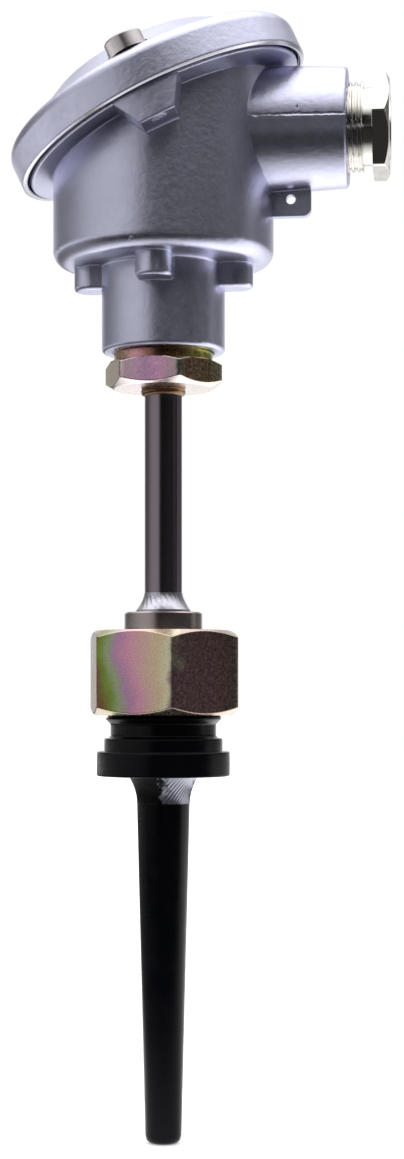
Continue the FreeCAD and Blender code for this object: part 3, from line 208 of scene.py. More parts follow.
# Thermowell collar: bar turned with a step, a relief and an M30x2 thread, then blackened. Its
# coned mouth takes the nipple, and its bevelled lower edge takes the weld.

MM = 0.001
# the distance at which points meet, and the turn between two faces that makes their edge a crease
MEET = 1e-6
CREASE = math.radians(35)
# points on a rounded corner, the most that it takes of a side, and points on a thread's turn
ROUND_CUTS = 4
ROUND_SHARE = 0.45
THREAD_CUTS = 12
# steepness of a thread's flanks, and how much of its wave the flat crest cuts away
FLANK_RISE, CREST_CUT = 1.5, 0.3
ROUND_ANGLES = np.radians(np.arange(0.0, 360.0, 2.5))

COLLAR_CORNERS = [
    (6.8, 2.0), (8.93, 0.0), (17.05, 0.0), (17.05, 6.3), (15.15, 6.3), (15.15, 9.7), (14.1, 9.7),
    (13.5, 10.3), (13.5, 13.35), (14.75, 14.6)]
COLLAR_ROUNDS = [0.0, 0.0, 0.45, 0.55, 0.2, 0.5, 0.1, 0.3, 0.3, 0.1]
COLLAR_MOUTH = [(14.75, 29.8), (13.55, 31.0), (10.6, 31.0), (7.837, 18.0), (6.8, 18.0)]
COLLAR_MOUTH_ROUNDS = [0.1, 0.1, 0.15, 0.0, 0.0]
# each thread: its start, end, radius, depth and pitch
WELL_PITCH = 2.0
COLLAR_THREAD = (14.7, 29.7, 14.75, 1.1, WELL_PITCH)
# widths of the tool's rings and of the clouds in the black, and the rings' depth
TOOL_RING, TOOL_RING_DEPTH = 0.3846, 0.03
BLACK_CLOUD = 5.556
BLACK_SPECULAR = 0.12


def linear(colour):
    """An sRGB hex colour as linear light: (v / 12.92) below 0.04045, else ((v + 0.055) / 1.055) ^ 2.4."""
    parts = [int(colour[at:at + 2], 16) / 255 for at in (1, 3, 5)]
    return tuple(v / 12.92 if v < 0.04045 else ((v + 0.055) / 1.055) ** 2.4 for v in parts) + (1.0,)


def cells(width):
    """A noise's scale for cells of a width in millimetres: how many of them lie in a metre."""
    return 1 / (width * MM)


def finish(name, colour, roughness, metallic=1.0):
    """Starts a material: one main surface, whose fixed values sit on its own sockets."""
    made = bpy.data.materials.new(name)
    made.use_nodes = True
    surface = made.node_tree.nodes["Principled BSDF"]
    surface.inputs["Base Color"].default_value = linear(colour)
    surface.inputs["Roughness"].default_value = roughness
    surface.inputs["Metallic"].default_value = metallic
    return made, made.node_tree, surface


def soften(corners, rounds):
    """Rounds the corners of an outline. A corner P becomes (1-t)^2 A + 2t(1-t) P + t^2 B, where A and B
    lie on its two sides at the round's distance, or at the largest share of the side if that is less."""
    corners = np.asarray(corners, float)
    share = np.linspace(0.0, 1.0, ROUND_CUTS)[:, None]
    ends = []
    for shift in (1, -1):
        side = np.roll(corners, shift, axis=-2) - corners
        length = np.maximum(np.linalg.norm(side, axis=-1, keepdims=True), MEET)
        reach = np.minimum(np.asarray(rounds)[:, None], ROUND_SHARE * length)
        ends.append((corners + side / length * reach)[..., None, :])
    start, end = ends
    curve = (1 - share) ** 2 * start + 2 * share * (1 - share) * corners[..., None, :] + share ** 2 * end
    return curve.reshape(corners.shape[:-2] + (-1, 2))


def each_angle(outline, angles=ROUND_ANGLES):
    """Repeats one outline for every angle, to be joined to one that differs from angle to angle."""
    return np.broadcast_to(outline, (len(angles),) + outline.shape[-2:])


def revolve(outline, angles=ROUND_ANGLES):
    """Turns an outline (radius, height) about Z: x = radius cos(angle), y = radius sin(angle)."""
    outline = each_angle(outline, angles)
    radius, height = outline[..., 0], outline[..., 1]
    around = angles[:, None]
    return np.stack([radius * np.cos(around), radius * np.sin(around), height], axis=-1)


def thread(start, end, radius, depth, pitch, angles=ROUND_ANGLES):
    """A screw thread's outline at each angle: radius less depth times a flat-topped wave of
    (height / pitch - angle / turn), which fades out over half a pitch at each end."""
    height = np.linspace(start, end, int(abs(end - start) / pitch * THREAD_CUTS) + 1)[None, :]
    wave = np.abs((height / pitch - angles[:, None] / (2 * np.pi)) % 1.0 * 2 - 1)
    groove = np.clip(wave * FLANK_RISE - CREST_CUT, 0.0, 1.0)
    fade = np.clip(np.minimum(abs(height - start), abs(height - end)) / (pitch / 2), 0.0, 1.0)
    return np.stack(np.broadcast_arrays(radius - depth * groove * fade, height), axis=-1)


def skin(name, points, material, body, slot, *stands_for):
    """Makes a closed piece from a grid of points in millimetres, which wraps round both ways.
    Points that meet become one, and the normals are weighted by face area between creases."""
    rows, columns = points.shape[:2]
    first = np.arange(rows * columns).reshape(rows, columns)
    below = np.roll(first, -1, axis=0)
    faces = np.stack([first, below, np.roll(below, -1, axis=1), np.roll(first, -1, axis=1)], axis=-1)
    mesh = bpy.data.meshes.new(name)
    mesh.from_pydata((points.reshape(-1, 3) * MM).tolist(), [], faces.reshape(-1, 4).tolist())
    shell = bmesh.new()
    shell.from_mesh(mesh)
    bmesh.ops.remove_doubles(shell, verts=shell.verts, dist=MEET)
    loose = [edge for edge in shell.edges if not edge.link_faces]
    bmesh.ops.delete(shell, geom=loose, context="EDGES")
    bmesh.ops.recalc_face_normals(shell, faces=shell.faces)
    shell.to_mesh(mesh)
    shell.free()
    mesh.shade_smooth()
    mesh.set_sharp_from_angle(angle=CREASE)
    mesh.materials.append(material)
    piece = bpy.data.objects.new(name, mesh)
    scene.collection.objects.link(piece)
    piece.modifiers.new("weighted", "WEIGHTED_NORMAL").keep_sharp = True
    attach(piece, body)
    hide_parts(*stands_for)
    return piece


# Blackened steel, turned: near black with a cold sheen that is cloudy from handling, and fine rings
# from the tool that break up its highlights.
black_steel, tree, surface = finish("blackened_steel", "#06070c", 0.24, metallic=0.0)
surface.inputs["Specular IOR Level"].default_value = BLACK_SPECULAR
place = add(tree, "TexCoord", {}).outputs["Object"]
height = add(tree, "SeparateXYZ", {0: place}).outputs["Z"]
rings = add(tree, "TexNoise", {"W": height, "Scale": cells(TOOL_RING), "Detail": 2.0},
            noise_dimensions="1D")
cloud = add(tree, "TexNoise", {"Vector": place, "Scale": cells(BLACK_CLOUD), "Detail": 4.0})
worn = add(tree, "MapRange", {"Value": cloud, "From Min": 0.35, "From Max": 0.70,
                              "To Min": 0.18, "To Max": 0.30})
tree.links.new(worn.outputs[0], surface.inputs["Roughness"])
marks = add(tree, "Bump", {"Strength": 0.5, "Distance": TOOL_RING_DEPTH * MM, "Height": rings})
tree.links.new(marks.outputs[0], surface.inputs["Normal"])

collar_outline = np.concatenate([
    each_angle(soften(COLLAR_CORNERS, COLLAR_ROUNDS)),
    thread(*COLLAR_THREAD),
    each_angle(soften(COLLAR_MOUTH, COLLAR_MOUTH_ROUNDS))], axis=1)
skin("collar", revolve(collar_outline), black_steel, "well", "black_steel", "well_collar")


# Thermowell stem: one bar turned to a long taper with a rounded tip, bored for the insert and
# blackened with the collar.

STEM_CORNERS = [
    (0.0, -94.1), (4.6, -94.1), (6.75, -7.0), (6.75, 0.0), (6.8, 0.0), (6.8, 18.0), (3.0, 18.0),
    (1.75, 16.75), (1.75, -89.1), (0.0, -90.15)]
STEM_ROUNDS = [0.0, 2.2, 0.5, 0.0, 0.0, 0.0, 0.0, 0.0, 0.0, 0.0]

skin("stem", revolve(soften(STEM_CORNERS, STEM_ROUNDS)), black_steel, "well", "black_steel", "well_stem")


# Weld under the collar: a long hollow fillet laid in overlapping ripples, blackened with the collar. Its
# ripples on the side towards the right front are painted silver: a painted highlight on the dark steel.

WELD_FOOT = (6.78, -7.0)
WELD_TOP = (8.93, 0.0)
WELD_HOLLOW = 0.62
WELD_BACK = [(6.8, 2.0), (6.8, 0.0), (6.75, 0.0), (6.75, -7.0)]
WELD_CUTS = 40
FINE_ANGLES = np.radians(np.arange(0.0, 360.0, 1.0))
# the way that the highlit side faces, the cosines from it where its painted highlight ends and starts,
# how far that border wanders, and the width of the streaks along the border
HIGHLIGHT_SIDE = math.radians(317.5)
HIGHLIGHT_END, HIGHLIGHT_START, HIGHLIGHT_WANDER = 0.66, 0.90, 0.12
HIGHLIGHT_STREAK = 1.429


def weld_face(foot, top, hollow, ripples, depth, lean, angles=ROUND_ANGLES):
    """A fillet weld's outer face: the line from foot to top, drawn in by hollow * 4s(1-s), with a
    ripple of (ripples * turn + lean * s) that fades out at both edges. Slow sines of the turn make
    the ripples wander and the bead swell, as a welder's hand does."""
    s = np.linspace(0.0, 1.0, WELD_CUTS)[None, :]
    around = angles[:, None]
    phase = ripples * around + 2 * np.pi * lean * s + 0.5 * np.sin(3 * around + 2.0 * s)
    swell = 0.3 * np.sin(5 * around) + 0.2 * np.sin(9 * around + 1.0)
    out = depth * np.sin(np.pi * s) ** 0.6 * (np.sin(phase) + 0.5 * np.sin(2 * phase) + swell)
    radius = foot[0] + (top[0] - foot[0]) * s - hollow * 4 * s * (1 - s) + out
    height = foot[1] + (top[1] - foot[1]) * s + 0.0 * around
    return np.stack([radius, height], axis=-1)


# Weld steel with a painted highlight: silver metal painted on the side towards the right front, with a
# streaky border to the blackened rest.
weld_steel, tree, surface = finish("weld_steel_painted_highlight", "#0f1014", 0.32)
surface.inputs["Specular IOR Level"].default_value = BLACK_SPECULAR
place = add(tree, "TexCoord", {}).outputs["Object"]
flat = add(tree, "VectorMath", {0: place, 1: (1.0, 1.0, 0.0)}, operation="MULTIPLY")
outward = add(tree, "VectorMath", {0: flat}, operation="NORMALIZE")
highlight_way = (math.cos(HIGHLIGHT_SIDE), math.sin(HIGHLIGHT_SIDE), 0.0)
facing = add(tree, "VectorMath", {0: outward, 1: highlight_way}, operation="DOT_PRODUCT").outputs["Value"]
streaks = add(tree, "TexNoise", {"Vector": place, "Scale": cells(HIGHLIGHT_STREAK), "Detail": 3.0})
rough_edge = add(tree, "MapRange", {"Value": streaks, "From Min": 0.3, "From Max": 0.7,
                                    "To Min": -HIGHLIGHT_WANDER, "To Max": HIGHLIGHT_WANDER})
patch = add(tree, "Math", {0: facing, 1: rough_edge}, operation="ADD")
highlit = add(tree, "MapRange", {"Value": patch, "From Min": HIGHLIGHT_END, "From Max": HIGHLIGHT_START},
           interpolation_type="SMOOTHSTEP")
# sockets of a Mix node that mixes colours
MIX_A, MIX_B, MIXED = 6, 7, 2
# painted highlight: silver and metallic on the highlit side, near black elsewhere
tone = add(tree, "Mix", {0: highlit, MIX_A: linear("#07080b"), MIX_B: linear("#a6a7b4")}, data_type="RGBA")
tree.links.new(tone.outputs[MIXED], surface.inputs["Base Color"])
tree.links.new(highlit.outputs[0], surface.inputs["Metallic"])

weld_outline = np.concatenate([
    weld_face(WELD_FOOT, WELD_TOP, WELD_HOLLOW, ripples=46, depth=0.07, lean=-5.0, angles=FINE_ANGLES),
    each_angle(np.array(WELD_BACK), FINE_ANGLES)], axis=1)
skin("collar_weld", revolve(weld_outline, FINE_ANGLES), weld_steel, "well", "black_steel", "well_weld")


# Union nut: hexagon bar, bored, threaded and bevelled at both ends, then zinc plated and passivated
# yellow, which leaves a thin film that turns from gold to green, mauve and brown.

NUT_FLATS = 36.0
NUT_TURN = 43.6
NUT_LOW, NUT_HIGH = 15.6, 37.2
NUT_MOUTH, NUT_BORE, NUT_RECESS = 15.8, 10.15, 12.7
NUT_BEVEL_START = 17.3
NUT_THREAD = (31.3, 16.6, 14.9, -0.9, WELL_PITCH)
BEVEL_SLOPE = math.tan(math.radians(30))
# how far a hexagon's corners are cut back, and points along each of its sides
CORNER_LAND = 0.18
SIDE_CUTS = 18

NUT_CORNERS = [
    (NUT_MOUTH, NUT_LOW), (NUT_BEVEL_START, NUT_LOW), (None, (NUT_LOW, NUT_BEVEL_START, BEVEL_SLOPE)),
    (None, (NUT_HIGH, NUT_BEVEL_START, -BEVEL_SLOPE)), (NUT_BEVEL_START, NUT_HIGH), (NUT_BORE, NUT_HIGH),
    (NUT_BORE, 36.05), (NUT_RECESS, 33.5), (NUT_RECESS, 31.4)]
NUT_ROUNDS = [0.05, 0.2, 0.25, 0.25, 0.2, 0.25, 0.0, 0.0, 0.0]

# colours of the film by the distance along X in millimetres, and how far they reach each way; besides
# the film's hues they hold painted shade, darker on the faces towards the right
FILM_REACH = 21.0
NUT_FILM_AND_SHADE = (
    (-20.5, "#8f8f8c"), (-15.5, "#7d5a44"), (-12.6, "#7f9444"), (-10.4, "#9cab82"), (-8.2, "#b98fb0"),
    (-5.0, "#da9bb4"), (-1.0, "#d8b4a8"), (2.0, "#d6c19e"), (4.6, "#dcd6b6"), (6.4, "#a08285"),
    (13.0, "#9c7a79"), (19.0, "#86756b"))
# widths of the film's clouds and specks, how far the clouds shift the colours, and the specks' depth
FILM_CLOUD, FILM_SPECK = 16.67, 0.6667
FILM_DRIFT = 4.0
SPECK_DEPTH = 0.02


def six_sides(flats, turn):
    """Angles round a hexagon, closer near its corners, and its reach at each: flats / 2 over the
    cosine of the angle from the nearest flat's middle, cut back by a small land at the corners."""
    across = 60.0 * (1 - np.cos(np.pi * np.arange(SIDE_CUTS) / SIDE_CUTS)) / 2
    side = flats / 2 / np.cos(np.radians(across - 30.0))
    angles = np.radians((turn + np.arange(6) * 60.0)[:, None] + across[None, :]).ravel()
    return angles, np.minimum(np.tile(side, 6), flats / math.sqrt(3) - CORNER_LAND)


def hex_outline(reach, corners):
    """An outline at each angle, in which a radius of None stands for the hexagon's own reach, and
    a height given as (level, start, slope) follows the bevel: level + slope * (reach - start)."""
    outline = np.empty((len(reach), len(corners), 2))
    for at, (radius, height) in enumerate(corners):
        outline[:, at, 0] = reach if radius is None else radius
        if isinstance(height, tuple):
            level, start, slope = height
            height = level + slope * (reach - start)
        outline[:, at, 1] = height
    return outline


def passivated(name, film_and_shade_colours, highlight_colour, highlight_share, collar_film_and_light_colours=None, collar_foot=0.0):
    """Zinc with a film of colours that run along X, shifted by broad clouds and dulled by fine specks.
    The colours along X hold painted shade and highlights besides the film's hues. Bevels and ends, which
    face up or down, turn to a pale colour of their own, a painted highlight, and above the foot of a
    collar the collar's colours run along X instead."""
    made, tree, surface = finish(name, "#b3a079", 0.24)
    place = add(tree, "TexCoord", {}).outputs["Object"]
    apart = add(tree, "SeparateXYZ", {0: place})
    cloud = add(tree, "TexNoise", {"Vector": place, "Scale": cells(FILM_CLOUD), "Detail": 3.0,
                                   "Distortion": 0.4})
    drift = add(tree, "MapRange", {"Value": cloud, "From Min": 0.2, "From Max": 0.8,
                                   "To Min": -FILM_DRIFT * MM, "To Max": FILM_DRIFT * MM})
    moved = add(tree, "Math", {0: apart.outputs["X"], 1: drift}, operation="ADD")
    share = add(tree, "MapRange", {"Value": moved, "From Min": -FILM_REACH * MM,
                                   "From Max": FILM_REACH * MM})
    tint = add(tree, "ValToRGB", {0: share})
    fill_ramp(tint, FILM_REACH, [(at, linear(colour)) for at, colour in film_and_shade_colours])
    film_and_light = tint.outputs[0]
    if collar_film_and_light_colours:
        collar_tint = add(tree, "ValToRGB", {0: share})
        fill_ramp(collar_tint, FILM_REACH, [(at, linear(colour)) for at, colour in collar_film_and_light_colours])
        above = add(tree, "Math", {0: apart.outputs["Z"], 1: collar_foot * MM},
                    operation="GREATER_THAN")
        joined = add(tree, "Mix", {0: above, MIX_A: film_and_light, MIX_B: collar_tint}, data_type="RGBA")
        film_and_light = joined.outputs[MIXED]
    speck = add(tree, "TexNoise", {"Vector": place, "Scale": cells(FILM_SPECK), "Detail": 2.0})
    # painted highlight: faces that point up or down, the bevels and ends, turn to the pale colour, and
    # the specks dull them less
    facing = add(tree, "TexCoord", {}).outputs["Normal"]
    upright = add(tree, "SeparateXYZ", {0: facing}).outputs["Z"]
    tilt = add(tree, "Math", {0: upright}, operation="ABSOLUTE")
    bevel_highlight = add(tree, "MapRange", {"Value": tilt, "From Min": 0.3, "From Max": 0.6,
                                  "To Min": 0.0, "To Max": highlight_share})
    even = add(tree, "MapRange", {"Value": bevel_highlight, "To Min": 0.84, "To Max": 1.02})
    dull = add(tree, "MapRange", {"Value": speck, "From Min": 0.35, "From Max": 0.65,
                                  "To Min": even.outputs[0], "To Max": 1.08})
    highlighted = add(tree, "Mix", {0: bevel_highlight, MIX_A: film_and_light, MIX_B: linear(highlight_colour)}, data_type="RGBA")
    toned = add(tree, "VectorMath", {0: highlighted.outputs[MIXED], 1: dull}, operation="MULTIPLY")
    tree.links.new(toned.outputs[0], surface.inputs["Base Color"])
    gloss = add(tree, "MapRange", {"Value": speck, "From Min": 0.3, "From Max": 0.7,
                                   "To Min": 0.20, "To Max": 0.34})
    tree.links.new(gloss.outputs[0], surface.inputs["Roughness"])
    raised = add(tree, "Bump", {"Strength": 0.4, "Distance": SPECK_DEPTH * MM, "Height": speck})
    tree.links.new(raised.outputs[0], surface.inputs["Normal"])
    return made


# the nut's pale colour on bevels and ends is a painted highlight
nut_zinc = passivated("yellow_passivated_zinc", NUT_FILM_AND_SHADE, "#d8cab4", 0.55)
nut_angles, nut_reach = six_sides(NUT_FLATS, NUT_TURN)
nut_outline = np.concatenate([
    soften(hex_outline(nut_reach, NUT_CORNERS), NUT_ROUNDS),
    thread(*NUT_THREAD, nut_angles)], axis=1)
skin("union_nut_body", revolve(nut_outline, nut_angles), nut_zinc, "union_nut", "zinc_yellow_steel",
     "union_nut")


# Cone nipple with its rubber ring: stainless bar turned to an upper ring and a sealing cone, which
# stay bright. The ring lies in a groove of the cone.

STAINLESS_RING, STAINLESS_RING_DEPTH = 0.3125, 0.02
STAINLESS_CLOUD = 11.11


def dress(material, *names):
    """Gives CAD pieces that stay as they are a finish."""
    for name in names:
        for material_slot in nodes[name].material_slots:
            material_slot.material = material


def grained(name, colour, roughness, metallic, grain, depth, contrast=0.12):
    """A finish with one grain: cloudy noise of the grain's size in millimetres darkens the colour by
    up to the contrast, and raises the surface by the depth in millimetres."""
    made, tree, surface = finish(name, colour, roughness, metallic)
    place = add(tree, "TexCoord", {}).outputs["Object"]
    cloud = add(tree, "TexNoise", {"Vector": place, "Scale": cells(grain), "Detail": 3.0})
    shade = add(tree, "MapRange", {"Value": cloud, "From Min": 0.3, "From Max": 0.7,
                                   "To Min": 1 - contrast, "To Max": 1.0})
    toned = add(tree, "VectorMath", {0: linear(colour)[:3], 1: shade}, operation="MULTIPLY")
    tree.links.new(toned.outputs[0], surface.inputs["Base Color"])
    raised = add(tree, "Bump", {"Strength": 0.6, "Distance": depth * MM, "Height": cloud})
    tree.links.new(raised.outputs[0], surface.inputs["Normal"])
    return made


# Turned stainless steel: fine rings from the tool, and a faint film that clouds its shine.
stainless, tree, surface = finish("turned_stainless_steel", "#a49a98", 0.22)
place = add(tree, "TexCoord", {}).outputs["Object"]
height = add(tree, "SeparateXYZ", {0: place}).outputs["Z"]
rings = add(tree, "TexNoise", {"W": height, "Scale": cells(STAINLESS_RING), "Detail": 2.0},
            noise_dimensions="1D")
marks = add(tree, "Bump", {"Strength": 0.4, "Distance": STAINLESS_RING_DEPTH * MM, "Height": rings})
tree.links.new(marks.outputs[0], surface.inputs["Normal"])
cloud = add(tree, "TexNoise", {"Vector": place, "Scale": cells(STAINLESS_CLOUD), "Detail": 3.0})
clouded = add(tree, "MapRange", {"Value": cloud, "From Min": 0.35, "From Max": 0.65,
                                 "To Min": 0.17, "To Max": 0.27})
tree.links.new(clouded.outputs[0], surface.inputs["Roughness"])
dress(stainless, "cone_nipple")

# Moulded nitrile rubber: black and dull.
black_rubber = grained("moulded_nitrile_rubber", "#1c1c1d", 0.62, 0.0, grain=0.6, depth=0.02)
dress(black_rubber, "nipple_seal_ring")


# Nipple weld: a short hollow fillet that joins the nipple's ring to the neck tube, laid in ripples
# and brushed clean.

NIPPLE_WELD_FOOT = (7.0, 42.5)
NIPPLE_WELD_TOP = (4.9, 46.9)
NIPPLE_WELD_HOLLOW = 0.45
NIPPLE_WELD_BACK = [(4.8, 46.9), (4.8, 41.9), (7.0, 41.9)]

# Brushed stainless weld: bright crests over darker hollows.
bright_weld = grained("brushed_stainless_weld", "#c9c8d2", 0.28, 1.0, grain=0.35, depth=0.05,
                      contrast=0.35)
nipple_weld = np.concatenate([
    weld_face(NIPPLE_WELD_FOOT, NIPPLE_WELD_TOP, NIPPLE_WELD_HOLLOW, ripples=24, depth=0.05, lean=1.5),
    each_angle(np.array(NIPPLE_WELD_BACK))], axis=1)
skin("tube_foot_weld", revolve(nipple_weld), bright_weld, "probe", "weld_steel", "nipple_weld")


# Neck tube: drawn stainless tube between the nipple and the adapter, welded at both ends and ground
# along its length by hand.

GRIND_LINE, GRIND_DEPTH = 0.4167, 0.01
# the lines' width over their length
GRIND_STRETCH = 0.02

# Ground stainless tube: hair lines along the tube, and a mauve cast that the heat left in it.
tube_steel, tree, surface = finish("ground_stainless_tube", "#8a8088", 0.20)
place = add(tree, "TexCoord", {}).outputs["Object"]
drawn_out = add(tree, "Mapping", {"Vector": place, "Scale": (1.0, 1.0, GRIND_STRETCH)})
lines = add(tree, "TexNoise", {"Vector": drawn_out, "Scale": cells(GRIND_LINE), "Detail": 2.0})
marks = add(tree, "Bump", {"Strength": 0.3, "Distance": GRIND_DEPTH * MM, "Height": lines})
tree.links.new(marks.outputs[0], surface.inputs["Normal"])
dress(tube_steel, "neck_tube")


# Adapter weld: a narrow bead that joins the tube to the adapter's lower face. It was left as welded,
# tinted brown by its heat.

# Heat-tinted weld: an oxide film, darker in clouds where the metal was hottest.
tint_weld = grained("heat_tinted_weld", "#93765a", 0.30, 1.0, grain=1.2, depth=0.05, contrast=0.4)
dress(tint_weld, "adapter_weld")


# Neck adapter: hexagon bar turned to a collar and an M24x1.5 thread, zinc plated and passivated
# yellow like the nut. The head screws down on to its collar.

ADAPTER_FLATS = 27.0
ADAPTER_TURN = 52.7
ADAPTER_FOOT, HEX_TOP, COLLAR_TOP, ADAPTER_TOP = 99.1, 105.7, 108.3, 120.8
ADAPTER_CORNER = ADAPTER_FLATS / math.sqrt(3)
# the bevels start where they are this deep at the hexagon's corners, below and above
LOWER_BEVEL, UPPER_BEVEL = 1.7, 1.0
ADAPTER_LOWER = ADAPTER_CORNER - LOWER_BEVEL / BEVEL_SLOPE
ADAPTER_UPPER = ADAPTER_CORNER - UPPER_BEVEL / BEVEL_SLOPE
ADAPTER_BORE, TUBE_SOCKET, SOCKET_END = 4.2, 4.85, 112.0
ADAPTER_COLLAR, ADAPTER_END = 12.65, 11.0
ADAPTER_THREAD_RADIUS = 12.0
ADAPTER_THREAD = (108.4, 119.8, ADAPTER_THREAD_RADIUS, 0.8, 1.5)

ADAPTER_CORNERS = [
    (ADAPTER_BORE, SOCKET_END), (TUBE_SOCKET, SOCKET_END), (TUBE_SOCKET, ADAPTER_FOOT),
    (ADAPTER_LOWER, ADAPTER_FOOT), (None, (ADAPTER_FOOT, ADAPTER_LOWER, BEVEL_SLOPE)),
    (None, (HEX_TOP, ADAPTER_UPPER, -BEVEL_SLOPE)), (ADAPTER_UPPER, HEX_TOP),
    (ADAPTER_COLLAR, HEX_TOP), (ADAPTER_COLLAR, COLLAR_TOP), (ADAPTER_THREAD_RADIUS, COLLAR_TOP)]
ADAPTER_ROUNDS = [0.0, 0.0, 0.1, 0.2, 0.25, 0.25, 0.2, 0.1, 0.3, 0.0]

# colours of the film on the hexagon, and on the collar over it from the collar's foot up. Besides the
# film's hues they hold painted light: the hexagon's faces towards the right are painted darker, and on
# the collar the dark brown middle is painted shade and the bright gold towards the right a painted
# highlight
ADAPTER_FILM_AND_SHADE = (
    (-16.0, "#cdc4b4"), (-11.5, "#c9bd9c"), (-9.0, "#cdb8b8"), (-5.0, "#dcb2cc"), (-2.0, "#d3a6ca"),
    (1.0, "#eab2d2"), (3.6, "#cfb2bd"), (4.6, "#b9bfa9"), (6.5, "#a58a76"), (9.0, "#b3957a"),
    (13.0, "#a08a68"), (16.0, "#bfb79c"))
COLLAR_FILM_AND_LIGHT = (
    (-14.0, "#a8a070"), (-10.5, "#d8b890"), (-7.5, "#dcb0a0"), (-4.0, "#c890a0"), (-1.5, "#a07068"),
    (2.0, "#8a6450"), (5.0, "#b08a58"), (8.0, "#e0d080"), (10.0, "#c8c060"), (13.0, "#8c9850"))
COLLAR_FOOT = 105.75

# the adapter's pale colour on bevels and ends is a painted highlight
adapter_zinc = passivated("yellow_passivated_zinc_adapter", ADAPTER_FILM_AND_SHADE, "#f2eae6", 0.8,
                          COLLAR_FILM_AND_LIGHT, COLLAR_FOOT)
adapter_angles, adapter_reach = six_sides(ADAPTER_FLATS, ADAPTER_TURN)
adapter_outline = np.concatenate([
    soften(hex_outline(adapter_reach, ADAPTER_CORNERS), ADAPTER_ROUNDS),
    thread(*ADAPTER_THREAD, adapter_angles),
    each_angle(np.array([(ADAPTER_END, ADAPTER_TOP), (ADAPTER_BORE, ADAPTER_TOP)]), adapter_angles)],
    axis=1)
skin("adapter_body", revolve(adapter_outline, adapter_angles), adapter_zinc, "probe", "zinc_yellow_steel",
     "neck_adapter")


# Head housing: one die-cast aluminium shell with the seam of its mould along the cable entry, a
# broken off runner under the front pad and a few pits, blasted, with a fine orange-peel skin.

CAST_COLOUR = "#cccde3"
# widths of the skin's patches, peel and grit, and the depths of the peel and the grit
CAST_PATCH, CAST_PEEL, CAST_GRIT = 6.667, 1.282, 0.3846
PEEL_DEPTH, GRIT_DEPTH = 0.09, 0.04
# the round that blasting leaves on the edges
CAST_EDGE = 0.5
# depth of the seam, and a pit's depth and the runner's height as multiples of it
SEAM_DEPTH, PIT_TIMES, BREAK_TIMES = 0.2, 1.5, 3.0
# how far the pits' rims are ragged, and the pits on the entry, the bowl's foot and the middle pillar
PIT_RAGGED = 0.2
PITS = (
    ((35.37, -15.46, 166.44), 0.50),
    ((-4.38, -27.36, 132.41), 0.55),
    ((1.56, -22.77, 126.06), 0.42))
# the seam's height, where it starts and is full along the entry, its half width at its foot and at
# its middle, and how far it wanders
SEAM_HEIGHT, SEAM_START, SEAM_FULL = 164.55, 24.0, 26.0
SEAM_FOOT, SEAM_MIDDLE = 0.45, 0.15
SEAM_WANDER = 0.15
# the runner's place, and the radii at its edge and where its break is full
RUNNER_PLACE = (3.6, -34.8, 159.4)
RUNNER_EDGE, RUNNER_FULL = 2.4, 1.4

# Blasted cast aluminium: a soft bluish shine that the peel breaks up along the edges of the lights.
# Its edges are rounded by the blasting, and pits and seam are painted a little darker: painted shade in
# their hollows.
cast_aluminium, tree, surface = finish("blasted_cast_aluminium", CAST_COLOUR, 0.33)
place = add(tree, "TexCoord", {}).outputs["Object"]
apart = add(tree, "SeparateXYZ", {0: place})
patches = add(tree, "TexNoise", {"Vector": place, "Scale": cells(CAST_PATCH), "Detail": 4.0})
peel = add(tree, "TexNoise", {"Vector": place, "Scale": cells(CAST_PEEL), "Detail": 3.0})
grit = add(tree, "TexNoise", {"Vector": place, "Scale": cells(CAST_GRIT), "Detail": 1.0})

ragged = add(tree, "MapRange", {"Value": grit, "From Min": 0.3, "From Max": 0.7,
                                "To Min": -PIT_RAGGED * MM, "To Max": PIT_RAGGED * MM})
pit = 0.0
for pit_place, pit_radius in PITS:
    centre = tuple(at * MM for at in pit_place)
    to_pit = add(tree, "VectorMath", {0: place, 1: centre}, operation="DISTANCE").outputs["Value"]
    rim = add(tree, "Math", {0: to_pit, 1: ragged}, operation="ADD")
    hollow = add(tree, "MapRange", {"Value": rim, "From Min": pit_radius * MM,
                                    "From Max": pit_radius * MM / 2})
    pit = add(tree, "Math", {0: pit, 1: hollow}, operation="MAXIMUM")

off_seam = add(tree, "Math", {0: apart.outputs["Z"], 1: SEAM_HEIGHT * MM}, operation="SUBTRACT")
wander = add(tree, "MapRange", {"Value": peel, "From Min": 0.3, "From Max": 0.7,
                                "To Min": -SEAM_WANDER * MM, "To Max": SEAM_WANDER * MM})
strayed = add(tree, "Math", {0: off_seam, 1: wander}, operation="ADD")
from_seam = add(tree, "Math", {0: strayed}, operation="ABSOLUTE")
on_seam = add(tree, "MapRange", {"Value": from_seam, "From Min": SEAM_FOOT * MM,
                                 "From Max": SEAM_MIDDLE * MM})
on_entry = add(tree, "MapRange", {"Value": apart.outputs["X"], "From Min": SEAM_START * MM,
                                  "From Max": SEAM_FULL * MM})
entry_seam = add(tree, "Math", {0: on_seam, 1: on_entry}, operation="MULTIPLY")
blasted_off = add(tree, "MapRange", {"Value": patches, "From Min": 0.40, "From Max": 0.55,
                                     "To Min": 0.3, "To Max": 1.0})
seam = add(tree, "Math", {0: entry_seam, 1: blasted_off}, operation="MULTIPLY")

runner_foot = tuple(at * MM for at in RUNNER_PLACE)
to_runner = add(tree, "VectorMath", {0: place, 1: runner_foot}, operation="DISTANCE").outputs["Value"]
on_runner = add(tree, "MapRange", {"Value": to_runner, "From Min": RUNNER_EDGE * MM,
                                   "From Max": RUNNER_FULL * MM})
rough_break = add(tree, "Math", {0: on_runner, 1: grit}, operation="MULTIPLY")

shade = add(tree, "MapRange", {"Value": patches, "From Min": 0.3, "From Max": 0.7,
                               "To Min": 0.94, "To Max": 1.03})
